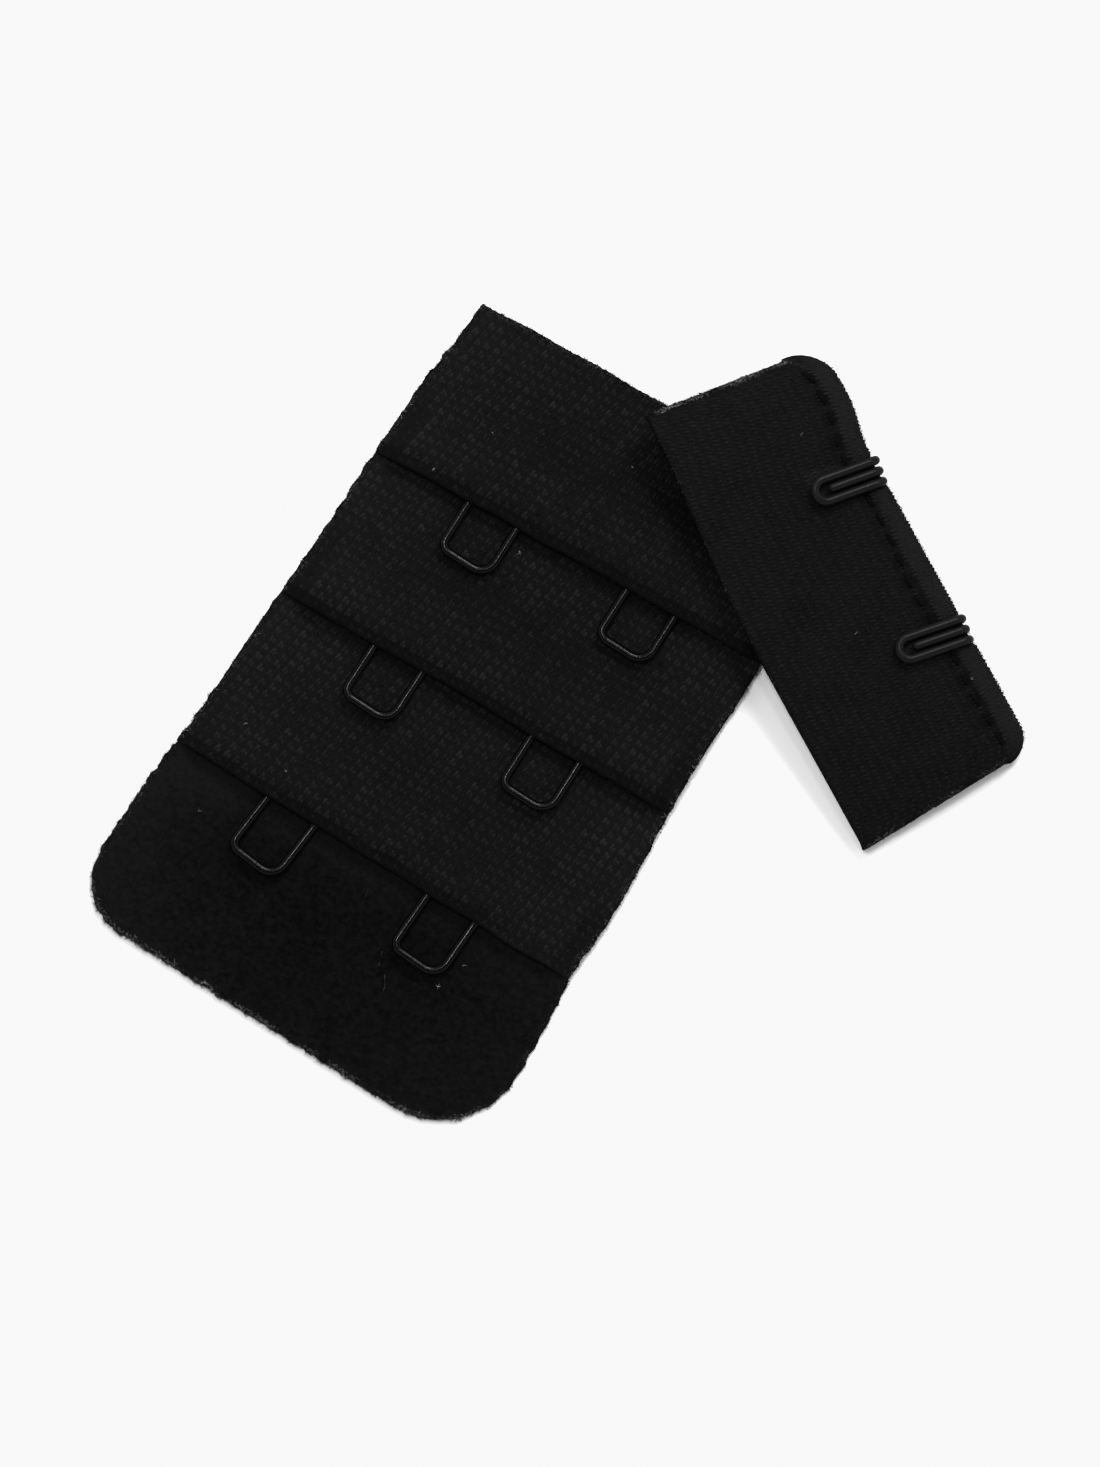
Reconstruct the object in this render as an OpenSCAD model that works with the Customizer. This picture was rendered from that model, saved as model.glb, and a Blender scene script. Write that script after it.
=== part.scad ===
// Hook and eye clasp for the back band of a bra, unfastened, its two halves lying together.
// The eye tape lies flat: a plush backing, three folded flaps of knit and three rows of eyes.
// The hook tape, a folded strip with two hooks, leans on the eye tape's top right corner.
// Lengths are in millimetres. The origin is the middle of the eye tape's underside,
// +Y runs up the tape towards its top edge, and +Z is up.

/* [Eye tape] */
// Length of the eye tape from its top edge to the middle of its bottom edge
tape_length = 64.7; // [60:0.1:80]
// Width of the eye tape at half its length
tape_width = 39.5; // [37:0.1:46]
// Lean of the left side in degrees, which widens the tape towards the bottom
left_lean = 5.7; // [0:0.1:7]
// Lean of the right side in degrees
right_lean = 1.7; // [0:0.1:4]
// Fall of the bottom edge from left to right in degrees
bottom_fall = 3.3; // [0:0.1:5]
// Radius of the bottom left corner
left_corner_r = 5.4; // [3:0.1:10]
// Radius of the bottom right corner
right_corner_r = 7.9; // [3:0.1:10]

/* [Cloth] */
// Thickness of the plush backing
backing_t = 0.9; // [0.7:0.05:1.6]
// Thickness of one layer of the flaps' knit
knit_t = 0.5; // [0.35:0.05:0.8]
// Width of the hem that is folded under each flap's free edge
hem_width = 5; // [4.4:0.1:7]
// Length of each flap that runs on under the flap above it
tuck_length = 5.5; // [4.4:0.1:8]
// How far along a flap the knit takes to settle down on the backing
settle_length = 10.6; // [9:0.1:13]
// Width of the strip at each side where the layers are pressed together
side_press = 2.6; // [1:0.1:5]
// Share of its thickness that the knit keeps at the pressed sides
pressed_share = 0.55; // [0.4:0.05:1]

/* [Rows of eyes] */
// Distance from the top edge to the first crease, and from one crease to the next
row_pitch = 15.9; // [15:0.1:18]
// Distance between the eyes of a row, and between the hooks, centre to centre
eye_pitch = 15.9; // [14:0.1:18]
// Distance between the two legs of an eye, centre to centre
eye_width = 4.8; // [3.8:0.1:6]
// How far the middle row's eyes stand out of their crease
eye_reach = 5.1; // [4:0.1:6]
// Bend radius of an eye's tighter corner, at the middle of the wire
eye_tight_r = 0.9; // [0.6:0.1:1.4]
// Bend radius of an eye's rounder corner
eye_round_r = 1.5; // [0.8:0.1:2]
// Rise of an eye out of its crease in degrees
eye_rise = 5; // [0:0.5:10]
// Length of each leg that is hidden under the flap
eye_root = 2.2; // [1.5:0.1:2.8]
// Length of the foot at the end of each hidden leg
eye_foot = 0.8; // [0.3:0.1:1.5]

/* [Wire] */
// Diameter of the coated wire of the eyes and hooks
wire_d = 0.8; // [0.6:0.05:0.9]

/* [Hook tape] */
// Length of the hook tape along its middle
strip_length = 41.2; // [38:0.1:50]
// Width of the hook tape from its open side to its fold
strip_width = 17.35; // [15:0.05:22]
// Thickness of each of its two layers
strip_layer_t = 0.65; // [0.5:0.05:0.9]
// Gap left between the layers at their open side
strip_mouth = 0.45; // [0.3:0.05:0.8]
// Slant of the cut end that lies on the eye tape, in degrees
high_end_slant = 7.4; // [0:0.1:10]
// Slant of the cut end that lies on the table, in degrees
low_end_slant = -2.6; // [-5:0.1:5]
// Radius of the corner between the fold and the end on the eye tape
high_corner_r = 3; // [1.5:0.1:5]
// Radius of the corner between the fold and the end on the table
low_corner_r = 2.1; // [1.5:0.1:5]
// How far the fold swells outwards near the end on the eye tape
fold_swell = 0.8; // [0:0.1:1.5]
// How far the open side draws in at the end on the eye tape
open_side_draw = 1.6; // [0:0.1:3]
// Distance of the stitch line from the fold
stitch_inset = 2.4; // [1.8:0.1:3.5]
// Depth that the stitches pull into the top layer
stitch_depth = 0.2; // [0:0.05:0.3]

/* [Hooks] */
// Width of a hook from the middle of one side wire to the other
hook_width = 1.95; // [1.9:0.05:2.6]
// Length of a hook that lies over the tape, from its tip to the fold
hook_length = 7.1; // [5:0.05:8]
// Length of the middle wire's end that stays short of the tip
hook_tongue_short = 1.6; // [1.2:0.05:2.5]
// Rise of a hook's bill towards its tip in degrees
hook_rise = 4; // [0:0.5:8]
// Turn of the hooks away from square to the fold, in degrees
hook_turn = 9.5; // [0:0.5:15]
// Length of a hook's shank inside the fold
hook_shank = 5.5; // [4:0.1:7]
// How far a hook's bend stands out of the fold
hook_proud = 0.05; // [0:0.05:0.4]
// How far the pair of hooks sits towards the end on the table
hook_shift = 0.5; // [-2:0.1:2]

/* [Lie of the hook tape] */
// Turn of the hook tape away from the eye tape's creases, in degrees
lie_turn = -31.9; // [-40:0.1:-25]
// Its middle to the right of the eye tape's top right corner
lie_right = 2.1; // [1:0.1:4]
// Its middle below the eye tape's top right corner
lie_below = 7.2; // [6:0.1:9]
// Height of its raised corner above where it leans on the eye tape
lie_lift = 0.8; // [0:0.1:2]

/* [Fit] */
// Gap between touching layers of cloth and wire
clearance = 0.05; // [0.03:0.01:0.1]
// Gap where the hook tape leans on the eye tape
lean_gap = 0.3; // [0.2:0.05:0.5]
// Gap between the hook tape's low end and the table
table_gap = 0.03; // [0.02:0.01:0.1]

/* [Hidden] */

wire_r = wire_d / 2;
tape_top = tape_length / 2;
tape_bottom = -tape_length / 2;

// Rows of eyes from the top, each with three columns: the crease below the top edge in row
// pitches, its fall to the right in degrees, and the reach of its eyes in eye reaches.
CREASE_AT = 0;
CREASE_FALL = 1;
ROW_REACH = 2;
ROWS = [
    [1.00, 0.0, 0.94],
    [1.95, 0.8, 1.00],
    [2.99, 2.4, 1.09]
];
last_row = len(ROWS) - 1;

// Eyes as left and right of each row: shift to the right in eye pitches, lean in degrees.
EYE_SHIFT = 0;
EYE_LEAN = 1;
EYES = [
    [[0.013, 3.4], [0.009, 3.6]],
    [[0.003, 4.0], [0.004, 3.5]],
    [[-0.038, 8.6], [-0.004, 5.6]]
];

// Round surfaces of the wires are exact, and this sets only how finely they are drawn.
wire_fn = 24;
corner_steps = 6;

// Eases: smooth goes from 0 to 1 while t does, and fade from 1 to 0 between two places.
function smooth(t) = let (c = min(max(t, 0), 1)) c * c * (3 - 2 * c);
function fade(s, start, end) = 1 - smooth((s - start) / (end - start));
function mix(a, b, t) = a + (b - a) * t;
function falling(list) = [for (i = [len(list) - 1 : -1 : 0]) list[i]];

// Sides of the eye tape, and the middle line between them, at height y up the tape.
function left_x(y) = -tape_width / 2 + y * tan(left_lean);
function right_x(y) = tape_width / 2 + y * tan(right_lean);
function middle_x(y) = (left_x(y) + right_x(y)) / 2;
function bottom_y(x) = tape_bottom - x * tan(bottom_fall);
function crease_y(row, x) =
    tape_top - ROWS[row][CREASE_AT] * row_pitch - x * tan(ROWS[row][CREASE_FALL]);

// Heights of the layers above the table.
layer_floor = backing_t + clearance;
foot_room = wire_d + clearance;
function tuck_room(row, squeeze) = row < last_row ? knit_t * squeeze + clearance : 0;
function eye_z(row) = layer_floor + tuck_room(row, 1) + wire_r;
crest_z = layer_floor + tuck_room(0, 1) + foot_room + 2 * knit_t;

// The eyes' hidden feet turn outwards, and the flap stays lifted as far as they reach.
foot_r = wire_d;
foot_x = eye_width / 2 + foot_r + eye_foot;
steepest_lean = max([for (row = EYES) for (eye = row) eye[EYE_LEAN]]);
feet_end = eye_root + wire_r + foot_x * sin(steepest_lean) + clearance;

// A closed skin over rings of equally many points, which run the same way round. A cap is
// the list of faces that closes the first ring, and turned round it closes the last one.
function plain_cap(n) = [[for (j = [0 : n - 1]) j]];
module skin(rings, cap) {
    n = len(rings[0]);
    last = len(rings) - 1;
    points = [for (ring = rings) for (p = ring) p];
    walls = [
        for (i = [0 : last - 1]) for (j = [0 : n - 1])
            let (k = (j + 1) % n, a = i * n + j, b = i * n + k, c = a + n, d = b + n)
                each [[a, c, b], [b, c, d]]
    ];
    last_cap = [for (face = cap) [for (j = falling(face)) last * n + j]];
    polyhedron(points, concat(walls, cap, last_cap), convexity = 8);
}

// A rounded corner of radius r between two straight edges, as points along its arc.
function unit(v) = v / norm(v);
function arc_corner(before, corner, after, r) =
    let (
        a = unit(before - corner),
        b = unit(after - corner),
        half = acos(a * b) / 2,
        centre = corner + unit(a + b) * r / sin(half),
        start = corner + a * r / tan(half) - centre,
        end = corner + b * r / tan(half) - centre,
        sweep = 180 - 2 * half
    )
    [for (i = [0 : corner_steps])
        let (t = sweep * i / corner_steps)
            centre + (start * sin(sweep - t) + end * sin(t)) / sin(sweep)];

// Where two straight lines meet, each given by two points.
function crossing(p, q, r, s) =
    let (
        d = q - p,
        e = s - r,
        t = ((r[0] - p[0]) * e[1] - (r[1] - p[1]) * e[0]) / (d[0] * e[1] - d[1] * e[0])
    )
    p + d * t;

// The backing's outline at an inset from its edge, clockwise from the top left corner.
function backing_outline(inset) =
    let (
        top = tape_top - inset,
        left_in = inset / cos(left_lean),
        right_in = inset / cos(right_lean),
        up = inset / cos(bottom_fall),
        left_top = [left_x(top) + left_in, top],
        right_top = [right_x(top) - right_in, top],
        left_low = [left_x(tape_bottom) + left_in, tape_bottom],
        right_low = [right_x(tape_bottom) - right_in, tape_bottom],
        hem_left = [-tape_width, bottom_y(-tape_width) + up],
        hem_right = [tape_width, bottom_y(tape_width) + up],
        low_right = crossing(right_top, right_low, hem_left, hem_right),
        low_left = crossing(left_top, left_low, hem_left, hem_right)
    )
    concat(
        [left_top, right_top],
        arc_corner(right_top, low_right, low_left, right_corner_r - inset),
        arc_corner(low_right, low_left, left_top, left_corner_r - inset)
    );

// The plush backing: height and inset of each ring, as shares of its thickness, round its
// soft edge.
BACKING_RINGS = [
    [0.00, 0.30],
    [0.25, 0.00],
    [0.65, 0.00],
    [0.90, 0.18],
    [1.00, 0.50]
];
module eye_backing() {
    outlines = [for (ring = BACKING_RINGS)
        [for (p = backing_outline(ring[1] * backing_t)) [p[0], p[1], ring[0] * backing_t]]];
    color("#101010")
        skin(outlines, plain_cap(len(outlines[0])));
}

// Height of the top layer's underside in a flap, at s along it from the free edge.
// The layer stands on the hem and the eyes' feet, then settles down on the backing.
function layer_z(row, s, press) =
    let (squeeze = mix(pressed_share, 1, press))
    layer_floor
        + tuck_room(row, squeeze) * fade(s, tuck_length + clearance, settle_length)
        + knit_t * squeeze * fade(s, hem_width, settle_length)
        + foot_room * press * fade(s, feet_end, settle_length);

// One section through a flap, as [s, z] points round it: the rolled free edge, the top, the
// far end, the underside and the step at the hem's raw edge.
roll_steps = 6;
settle_steps = 7;
function flap_section(row, length, press) =
    let (
        t = knit_t * mix(pressed_share, 1, press),
        z = layer_z(row, 0, press),
        roll = [for (i = [0 : roll_steps])
            let (a = -90 + 180 * i / roll_steps) [t - t * cos(a), z + t * sin(a)]],
        settle = [for (i = [0 : settle_steps])
            mix(feet_end, settle_length, i / settle_steps)],
        hem_z = layer_z(row, hem_width, press),
        beyond = [for (s = settle) if (s > hem_width + knit_t) s],
        before = [for (s = settle) if (s < hem_width - knit_t) s]
    )
    concat(
        roll,
        [for (s = settle) [s, layer_z(row, s, press) + t]],
        [[length, layer_z(row, length, press) + t], [length, layer_z(row, length, press)]],
        [for (s = falling(beyond)) [s, layer_z(row, s, press)]],
        [[hem_width + t / 4, layer_z(row, hem_width, press)], [hem_width, hem_z - t]],
        [for (s = falling(before)) [s, layer_z(row, s, press) - t]]
    );

// A flap from its crease up to its far end. Its stations run from the left side to the
// right: those at each side lie in the pressed strip, as shares of its width.
SIDE_STATIONS = [0, 0.2, 0.45, 0.7, 1];
middle_stations = 3;
function across(y, station) =
    let (n = len(SIDE_STATIONS), m = middle_stations)
    station < n ? left_x(y) + SIDE_STATIONS[station] * side_press
    : station >= n + m ? right_x(y) - SIDE_STATIONS[2 * n + m - 1 - station] * side_press
    : mix(left_x(y) + side_press, right_x(y) - side_press, (station - n + 1) / (m + 1));
function press_at(station) =
    let (n = len(SIDE_STATIONS), m = middle_stations)
    smooth(station < n ? SIDE_STATIONS[station]
        : station >= n + m ? SIDE_STATIONS[2 * n + m - 1 - station] : 1);
function flap_far_end(row) =
    row == 0 ? tape_top : crease_y(row - 1, middle_x(tape_top)) + tuck_length;
module eye_flap(row) {
    count = 2 * len(SIDE_STATIONS) + middle_stations;
    sections = [for (i = [0 : count - 1])
        let (
            x = across(crease_y(row, 0), i),
            crease = crease_y(row, x),
            length = flap_far_end(row) - crease
        )
        [for (p = flap_section(row, length, press_at(i)))
            [across(crease + p[0], i), crease + p[0], p[1]]]];
    color("#1c1c1c")
        skin(sections, plain_cap(len(sections[0])));
}
module eye_flap_1() {
    eye_flap(0);
}
module eye_flap_2() {
    eye_flap(1);
}
module eye_flap_3() {
    eye_flap(2);
}

// A wire that runs along +Z from the origin through a list of stretches, to a rounded end.
// Each stretch has four columns: its straight length, and then the turn, the radius and the
// side of the bend after it, where side 0 bends towards +X, 90 towards +Y and so on.
module wire(stretches, i = 0) {
    if (i < len(stretches)) {
        straight = stretches[i][0];
        turn = stretches[i][1];
        r = stretches[i][2];
        rotate([0, 0, stretches[i][3]]) {
            cylinder(d = wire_d, h = straight, $fn = wire_fn);
            translate([0, 0, straight]) {
                if (turn > 0)
                    translate([r, 0, 0])
                        rotate([90, 0, 180])
                            rotate_extrude(angle = turn, $fn = 3 * wire_fn)
                                translate([r, 0])
                                    circle(d = wire_d, $fn = wire_fn);
                translate([r * (1 - cos(turn)), 0, r * sin(turn)])
                    rotate([0, turn, 0])
                        wire(stretches, i + 1);
            }
        }
    } else {
        sphere(d = wire_d, $fn = wire_fn);
    }
}

// One eye: from its left foot out along the left leg, round the loop and back to the right
// foot. Its origin lies at the crease, between the legs, and it stands out towards -Y.
module eye(row, side) {
    reach = eye_reach * ROWS[row][ROW_REACH];
    eye_column = EYES[row][side];
    shift = (side == 0 ? -0.5 : 0.5) + eye_column[EYE_SHIFT];
    x = middle_x(crease_y(row, 0)) + shift * eye_pitch;
    knee_r = wire_d;
    leg = (reach - knee_r * sin(eye_rise)) / cos(eye_rise);
    color("#2b2b2b")
        translate([x, crease_y(row, x), eye_z(row)])
            rotate([0, 0, -eye_column[EYE_LEAN]])
                translate([-foot_x, eye_root, 0])
                    rotate([-90, 0, -90])
                        wire([
                            [eye_foot, 90, foot_r, 0],
                            [eye_root - foot_r, eye_rise, knee_r, -90],
                            [leg - eye_tight_r, 90, eye_tight_r, -90],
                            [eye_width - eye_tight_r - eye_round_r, 90, eye_round_r, 0],
                            [leg - eye_round_r, eye_rise, knee_r, 90],
                            [eye_root - foot_r, 90, foot_r, 90],
                            [eye_foot, 0, 0, 0]
                        ]);
}
module eye_1_left() {
    eye(0, 0);
}
module eye_1_right() {
    eye(0, 1);
}
module eye_2_left() {
    eye(1, 0);
}
module eye_2_right() {
    eye(1, 1);
}
module eye_3_left() {
    eye(2, 0);
}
module eye_3_right() {
    eye(2, 1);
}

// Places on the hook tape: u runs along its middle from the end on the eye tape to the end
// on the table, and v runs across it from the open side to the fold.
strip_end = strip_length / 2;
strip_side = strip_width / 2;
strip_middle = [right_x(tape_top) + lie_right, tape_top - lie_below];
function to_strip(p) =
    let (d = p - strip_middle)
    [d[0] * cos(lie_turn) + d[1] * sin(lie_turn), d[1] * cos(lie_turn) - d[0] * sin(lie_turn)];
function from_strip(u, v) =
    strip_middle
        + [u * cos(lie_turn) - v * sin(lie_turn), u * sin(lie_turn) + v * cos(lie_turn)];

// The strip leans on the first flap's crest and on the eye tape's top right corner, and its
// far end comes down to the table. It bows over the crest and loses its roll on the way.
crest_y = crease_y(0, right_x(tape_top)) + feet_end;
crest_place = to_strip([right_x(crest_y) - side_press, crest_y]);
corner_place = to_strip([right_x(tape_top), tape_top]);
corner_z = layer_floor + knit_t;
// A curve of the second degree through three places [u, z].
function parabola(u, p, q, r) =
    p[1] * (u - q[0]) * (u - r[0]) / ((p[0] - q[0]) * (p[0] - r[0]))
        + q[1] * (u - p[0]) * (u - r[0]) / ((q[0] - p[0]) * (q[0] - r[0]))
        + r[1] * (u - p[0]) * (u - q[0]) / ((r[0] - p[0]) * (r[0] - q[0]));
function bow(u) =
    parabola(
        u,
        [-strip_end, crest_z + lean_gap + lie_lift],
        [crest_place[0], crest_z + lean_gap],
        [strip_end, table_gap]
    );
full_roll = (bow(corner_place[0]) - corner_z - lean_gap) / (corner_place[1] - crest_place[1]);
function roll(u) = full_roll * smooth((strip_end - u) / (strip_end - crest_place[0]));
function under_z(u, v) = bow(u) - roll(u) * (v - crest_place[1]);

// The slit between the layers holds the hooks' shanks, and narrows towards the open side.
slit = wire_d + 4 * clearance;
strip_t = 2 * strip_layer_t + slit;
function slit_at(v) =
    mix(strip_mouth, slit, smooth((v + strip_side) / (2 * strip_side - strip_t - hook_shank)));

// Fold and open side of the strip at u, with the fold's rounded corners.
function fold_v(u) = strip_side + fold_swell * fade(u, -strip_end / 1.3, -strip_end / 2);
function open_v(u) = -strip_side + open_side_draw * pow(fade(u, -strip_end, strip_end / 4), 1.5);

// One section across the strip at u, as [v, z] points round it: the outer face from the
// upper layer's lip round the fold to the lower layer's lip, and back along the slit. Each
// point of the outer face has one across the cloth from it, which the cap's faces join.
fold_steps = 8;
STITCH_SPREAD = [-0.9, -0.45, 0, 0.45, 0.9];
TOP_SHARES = [0.25, 0.5, 0.75];
function strip_section(fold, open) =
    let (
        soft = strip_layer_t / 3,
        mid = strip_t / 2,
        stitch = fold - stitch_inset,
        spread = (stitch_inset - mid) * 0.7,
        flat = stitch - spread,
        stitches = [for (k = STITCH_SPREAD) stitch + k * spread],
        spans = [for (share = TOP_SHARES) mix(open, flat, share)],
        top = concat([open + soft], spans, stitches),
        turns = [for (i = [0 : fold_steps])
            let (a = 90 - 180 * i / fold_steps) [cos(a), sin(a)]],
        outer = [for (v = top)
            let (sunk = stitch_depth * fade(abs(v - stitch), 0, spread))
                [v, slit_at(v) + 2 * strip_layer_t - sunk]],
        inner = [for (v = top) [v, slit_at(v) + strip_layer_t]]
    )
    concat(
        [[open, slit_at(open) + 1.5 * strip_layer_t]],
        outer,
        [for (turn = turns) [fold - mid, mid] + mid * turn],
        [[open + soft, 0], [open, strip_layer_t / 2], [open + soft, strip_layer_t]],
        [for (turn = falling(turns)) [fold - mid, mid] + slit / 2 * turn],
        falling(inner)
    );
function strip_cap(n) =
    let (m = n / 2 - 1)
    concat(
        [[0, 1, n - 1]],
        [for (i = [1 : m - 1]) each [[i, i + 1, n - i], [i + 1, n - i - 1, n - i]]],
        [[m, m + 1, m + 2]]
    );

// Stations along the strip, as [u, how far the rounded corner draws the fold in].
STRIP_SHARES = [0.14, 0.28, 0.42, 0.56, 0.7, 0.84];
function corner_stations(end, r, way) =
    [for (i = [0 : 3])
        let (a = 30 * i) [end + way * r * (1 - cos(a)), r * (1 - sin(a))]];
strip_stations = concat(
    corner_stations(-strip_end, high_corner_r, 1),
    [for (share = STRIP_SHARES)
        [mix(-strip_end + high_corner_r, strip_end - low_corner_r, share), 0]],
    falling(corner_stations(strip_end, low_corner_r, -1))
);
function end_slant(u) =
    mix(tan(high_end_slant), tan(low_end_slant), smooth((u + strip_end) / strip_length));

// A hook in its own frame: the origin lies at the fold, halfway up the strip, +Y points out
// of the fold and +Z up. The wires come out of the slit, bend round and lie over the top.
// The outer wire makes the loop, and the tongue is a wire of its own between its sides.
// Each half turn is two bends with a short flat between them.
bend_flat = 0.06;
hook_bend_r = (strip_t / 2 + wire_r + clearance - bend_flat) / 2;
hook_bend_y = hook_proud - wire_r - hook_bend_r;
hook_half_turn = (180 - hook_rise) / 2;
hook_tip_r = (hook_width - bend_flat) / 2;
shank = hook_shank + hook_bend_y;
bill = hook_length + hook_bend_y - wire_r - hook_tip_r;
module hook_loop() {
    translate([-hook_width / 2, -hook_shank, 0])
        rotate([0, -90, -90])
            wire([
                [shank, hook_half_turn, hook_bend_r, 0],
                [bend_flat, hook_half_turn, hook_bend_r, 0],
                [bill, 90, hook_tip_r, 90],
                [bend_flat, 90, hook_tip_r, 0],
                [bill, hook_half_turn, hook_bend_r, -90],
                [bend_flat, hook_half_turn, hook_bend_r, 0],
                [shank, 0, 0, 0]
            ]);
}
module hook_tongue() {
    translate([0, -hook_shank, 0])
        rotate([0, -90, -90])
            wire([
                [shank, hook_half_turn, hook_bend_r, 0],
                [bend_flat, hook_half_turn, hook_bend_r, 0],
                [bill + hook_tip_r - hook_tongue_short, 0, 0, 0]
            ]);
}

// Puts what is drawn in a hook's frame at place u along the fold.
module at_fold(u) {
    v = fold_v(u);
    step = 1;
    slope_u = (under_z(u + step, v) - under_z(u - step, v)) / (2 * step);
    slope_v = -roll(u);
    place = from_strip(u + end_slant(u) * v, v);
    translate([place[0], place[1], under_z(u, v) + strip_t / 2])
        rotate([0, 0, lie_turn])
            rotate([atan(slope_v), -atan(slope_u), 0])
                rotate([0, 0, -hook_turn])
                    children();
}
// The slant of the ends moves the cloth along the fold, and the hooks keep their pitch.
function along_fold(u) =
    let (near = u - end_slant(u) * fold_v(u))
    u - end_slant(near) * fold_v(near);
hook_places = [
    along_fold(hook_shift - eye_pitch / 2),
    along_fold(hook_shift + eye_pitch / 2)
];

// The folded strip, with the fold and the top layer open where each hook comes through.
module hook_tape() {
    notch_w = hook_width + wire_d + 4 * clearance;
    notch_back = hook_bend_y - notch_w / 2 * sin(hook_turn) - clearance;
    sections = [for (station = strip_stations)
        let (u = station[0], fold = fold_v(u) - station[1])
            [for (p = strip_section(fold, open_v(u)))
                let (at = from_strip(u + end_slant(u) * p[0], p[0]))
                    [at[0], at[1], under_z(u, p[0]) + p[1]]]];
    color("#191919")
        difference() {
            skin(sections, strip_cap(len(sections[0])));
            for (u = hook_places)
                at_fold(u)
                    translate([-notch_w / 2, notch_back, -wire_r - 2 * clearance])
                        cube([notch_w, strip_t, 2 * strip_t]);
        }
}
module hook_upper() {
    color("#2b2b2b")
        at_fold(hook_places[0])
            hook_loop();
}
module hook_upper_tongue() {
    color("#2b2b2b")
        at_fold(hook_places[0])
            hook_tongue();
}
module hook_lower() {
    color("#2b2b2b")
        at_fold(hook_places[1])
            hook_loop();
}
module hook_lower_tongue() {
    color("#2b2b2b")
        at_fold(hook_places[1])
            hook_tongue();
}

eye_backing();
eye_flap_1();
eye_flap_2();
eye_flap_3();
eye_1_left();
eye_1_right();
eye_2_left();
eye_2_right();
eye_3_left();
eye_3_right();
hook_tape();
hook_upper();
hook_upper_tongue();
hook_lower();
hook_lower_tongue();
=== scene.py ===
# %% [markdown]
# A hook and eye clasp, the closure of a back band, lies unfastened on a pale table. One half
# is the eye tape: plush below, three folded flaps of knit above it, and three rows of wire
# eyes. The other half is a folded strip with two wire hooks, which leans on the eye tape's
# corner. Everything is black, so what shows is the relief of the knit, the nap of the plush
# and the thin lights on the wires. This lesson builds those surfaces round the solid model.

import math

import bmesh
import bpy
import numpy as np
from mathutils import Matrix, Vector
from mathutils.kdtree import KDTree


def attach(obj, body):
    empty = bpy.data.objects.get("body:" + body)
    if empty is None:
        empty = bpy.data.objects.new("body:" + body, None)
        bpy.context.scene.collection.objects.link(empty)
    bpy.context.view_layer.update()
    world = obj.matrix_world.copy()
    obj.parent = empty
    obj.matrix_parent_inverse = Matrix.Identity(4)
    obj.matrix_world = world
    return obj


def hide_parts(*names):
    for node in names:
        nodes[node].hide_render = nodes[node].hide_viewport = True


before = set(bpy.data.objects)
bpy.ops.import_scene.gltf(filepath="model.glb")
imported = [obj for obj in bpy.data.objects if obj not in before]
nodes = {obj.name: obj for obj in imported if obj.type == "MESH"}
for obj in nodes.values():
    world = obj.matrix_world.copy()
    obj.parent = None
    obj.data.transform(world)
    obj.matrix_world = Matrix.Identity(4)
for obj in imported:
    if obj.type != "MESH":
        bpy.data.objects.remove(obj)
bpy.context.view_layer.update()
MM = 0.001


def add_object(name, data):
    piece = bpy.data.objects.new(name, data)
    bpy.context.collection.objects.link(piece)
    return piece


# %% [markdown]
# The photograph looks straight down, with the eye tape turned by about 29 degrees in the
# picture. It shows 11.4 pixels for each millimetre. A long lens far above gives the same
# nearly parallel view, and its distance follows from the size of the picture on the table.

# %% Camera above the table
PHOTO_HEIGHT = 1467
PIXELS_PER_MM = 11.4
VIEW_CENTRE = (6.995, 2.21)
VIEW_TURN = 29.1
SEEN_PLANE = 1.5
LENS = 200
SENSOR = 36
CLIP_END = 10

view_height = PHOTO_HEIGHT / PIXELS_PER_MM
camera_data = bpy.data.cameras.new("camera")
camera_data.lens = LENS
camera_data.sensor_width = SENSOR
camera_data.clip_end = CLIP_END
camera = add_object("camera", camera_data)
camera_height = SEEN_PLANE + view_height * LENS / SENSOR
camera.location = (VIEW_CENTRE[0] * MM, VIEW_CENTRE[1] * MM, camera_height * MM)
camera.rotation_euler = (0, 0, math.radians(VIEW_TURN))
bpy.context.scene.camera = camera
print("the camera is", round(camera_height), "mm up and sees", round(view_height), "mm")

# %% [markdown]
# Each piece of cloth is a function from a place on the flat cloth to the place where it lies in
# the clasp. These first functions work on numbers or on whole arrays. The eases go from 0 to 1
# without a corner, and a waver is a smooth random height that makes things look handmade.

# %% Eases, turns and wavers
def smooth(t):
    t = np.clip(t, 0, 1)
    return t * t * (3 - 2 * t)


def fade(s, start, end):
    return 1 - smooth((s - start) / (end - start))


def mix(a, b, t):
    return a + (b - a) * t


def unit(v):
    return v / np.linalg.norm(v, axis=-1, keepdims=True)


def tan(degrees):
    return math.tan(math.radians(degrees))


def waver(x, y, pitch, seed, waves=6):
    """A smooth random height of about -1 to 1 that changes over about one pitch."""
    rng = np.random.default_rng(seed)
    total = 0
    for wave in range(waves):
        way, phase = rng.uniform(0, 2 * math.pi, 2)
        turn = 2 * math.pi / (pitch * rng.uniform(0.7, 1.6))
        total = total + np.sin((x * math.cos(way) + y * math.sin(way)) * turn + phase)
    return total * 2 / waves


def round_corner(distance, radius):
    """How far a rounded corner draws an edge in, at a distance from it along the edge."""
    t = np.clip(distance / radius, 0, 1)
    return radius * (1 - np.sqrt(t * (2 - t)))


def follow(points, t):
    """A height that follows a list of points, with soft corners."""
    places, heights = np.array(points).T
    return sum(np.interp(t + shift, places, heights) for shift in (-1, 0, 1)) / 3


# %% [markdown]
# The eye tape's sizes are those of the solid model, in millimetres. Each flap ends in a crease,
# where the knit turns under itself into a hem. It stands on the feet of the eyes there, and
# farther up it settles on the plush backing. Its sides and its crease are pressed thinner.

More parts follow.
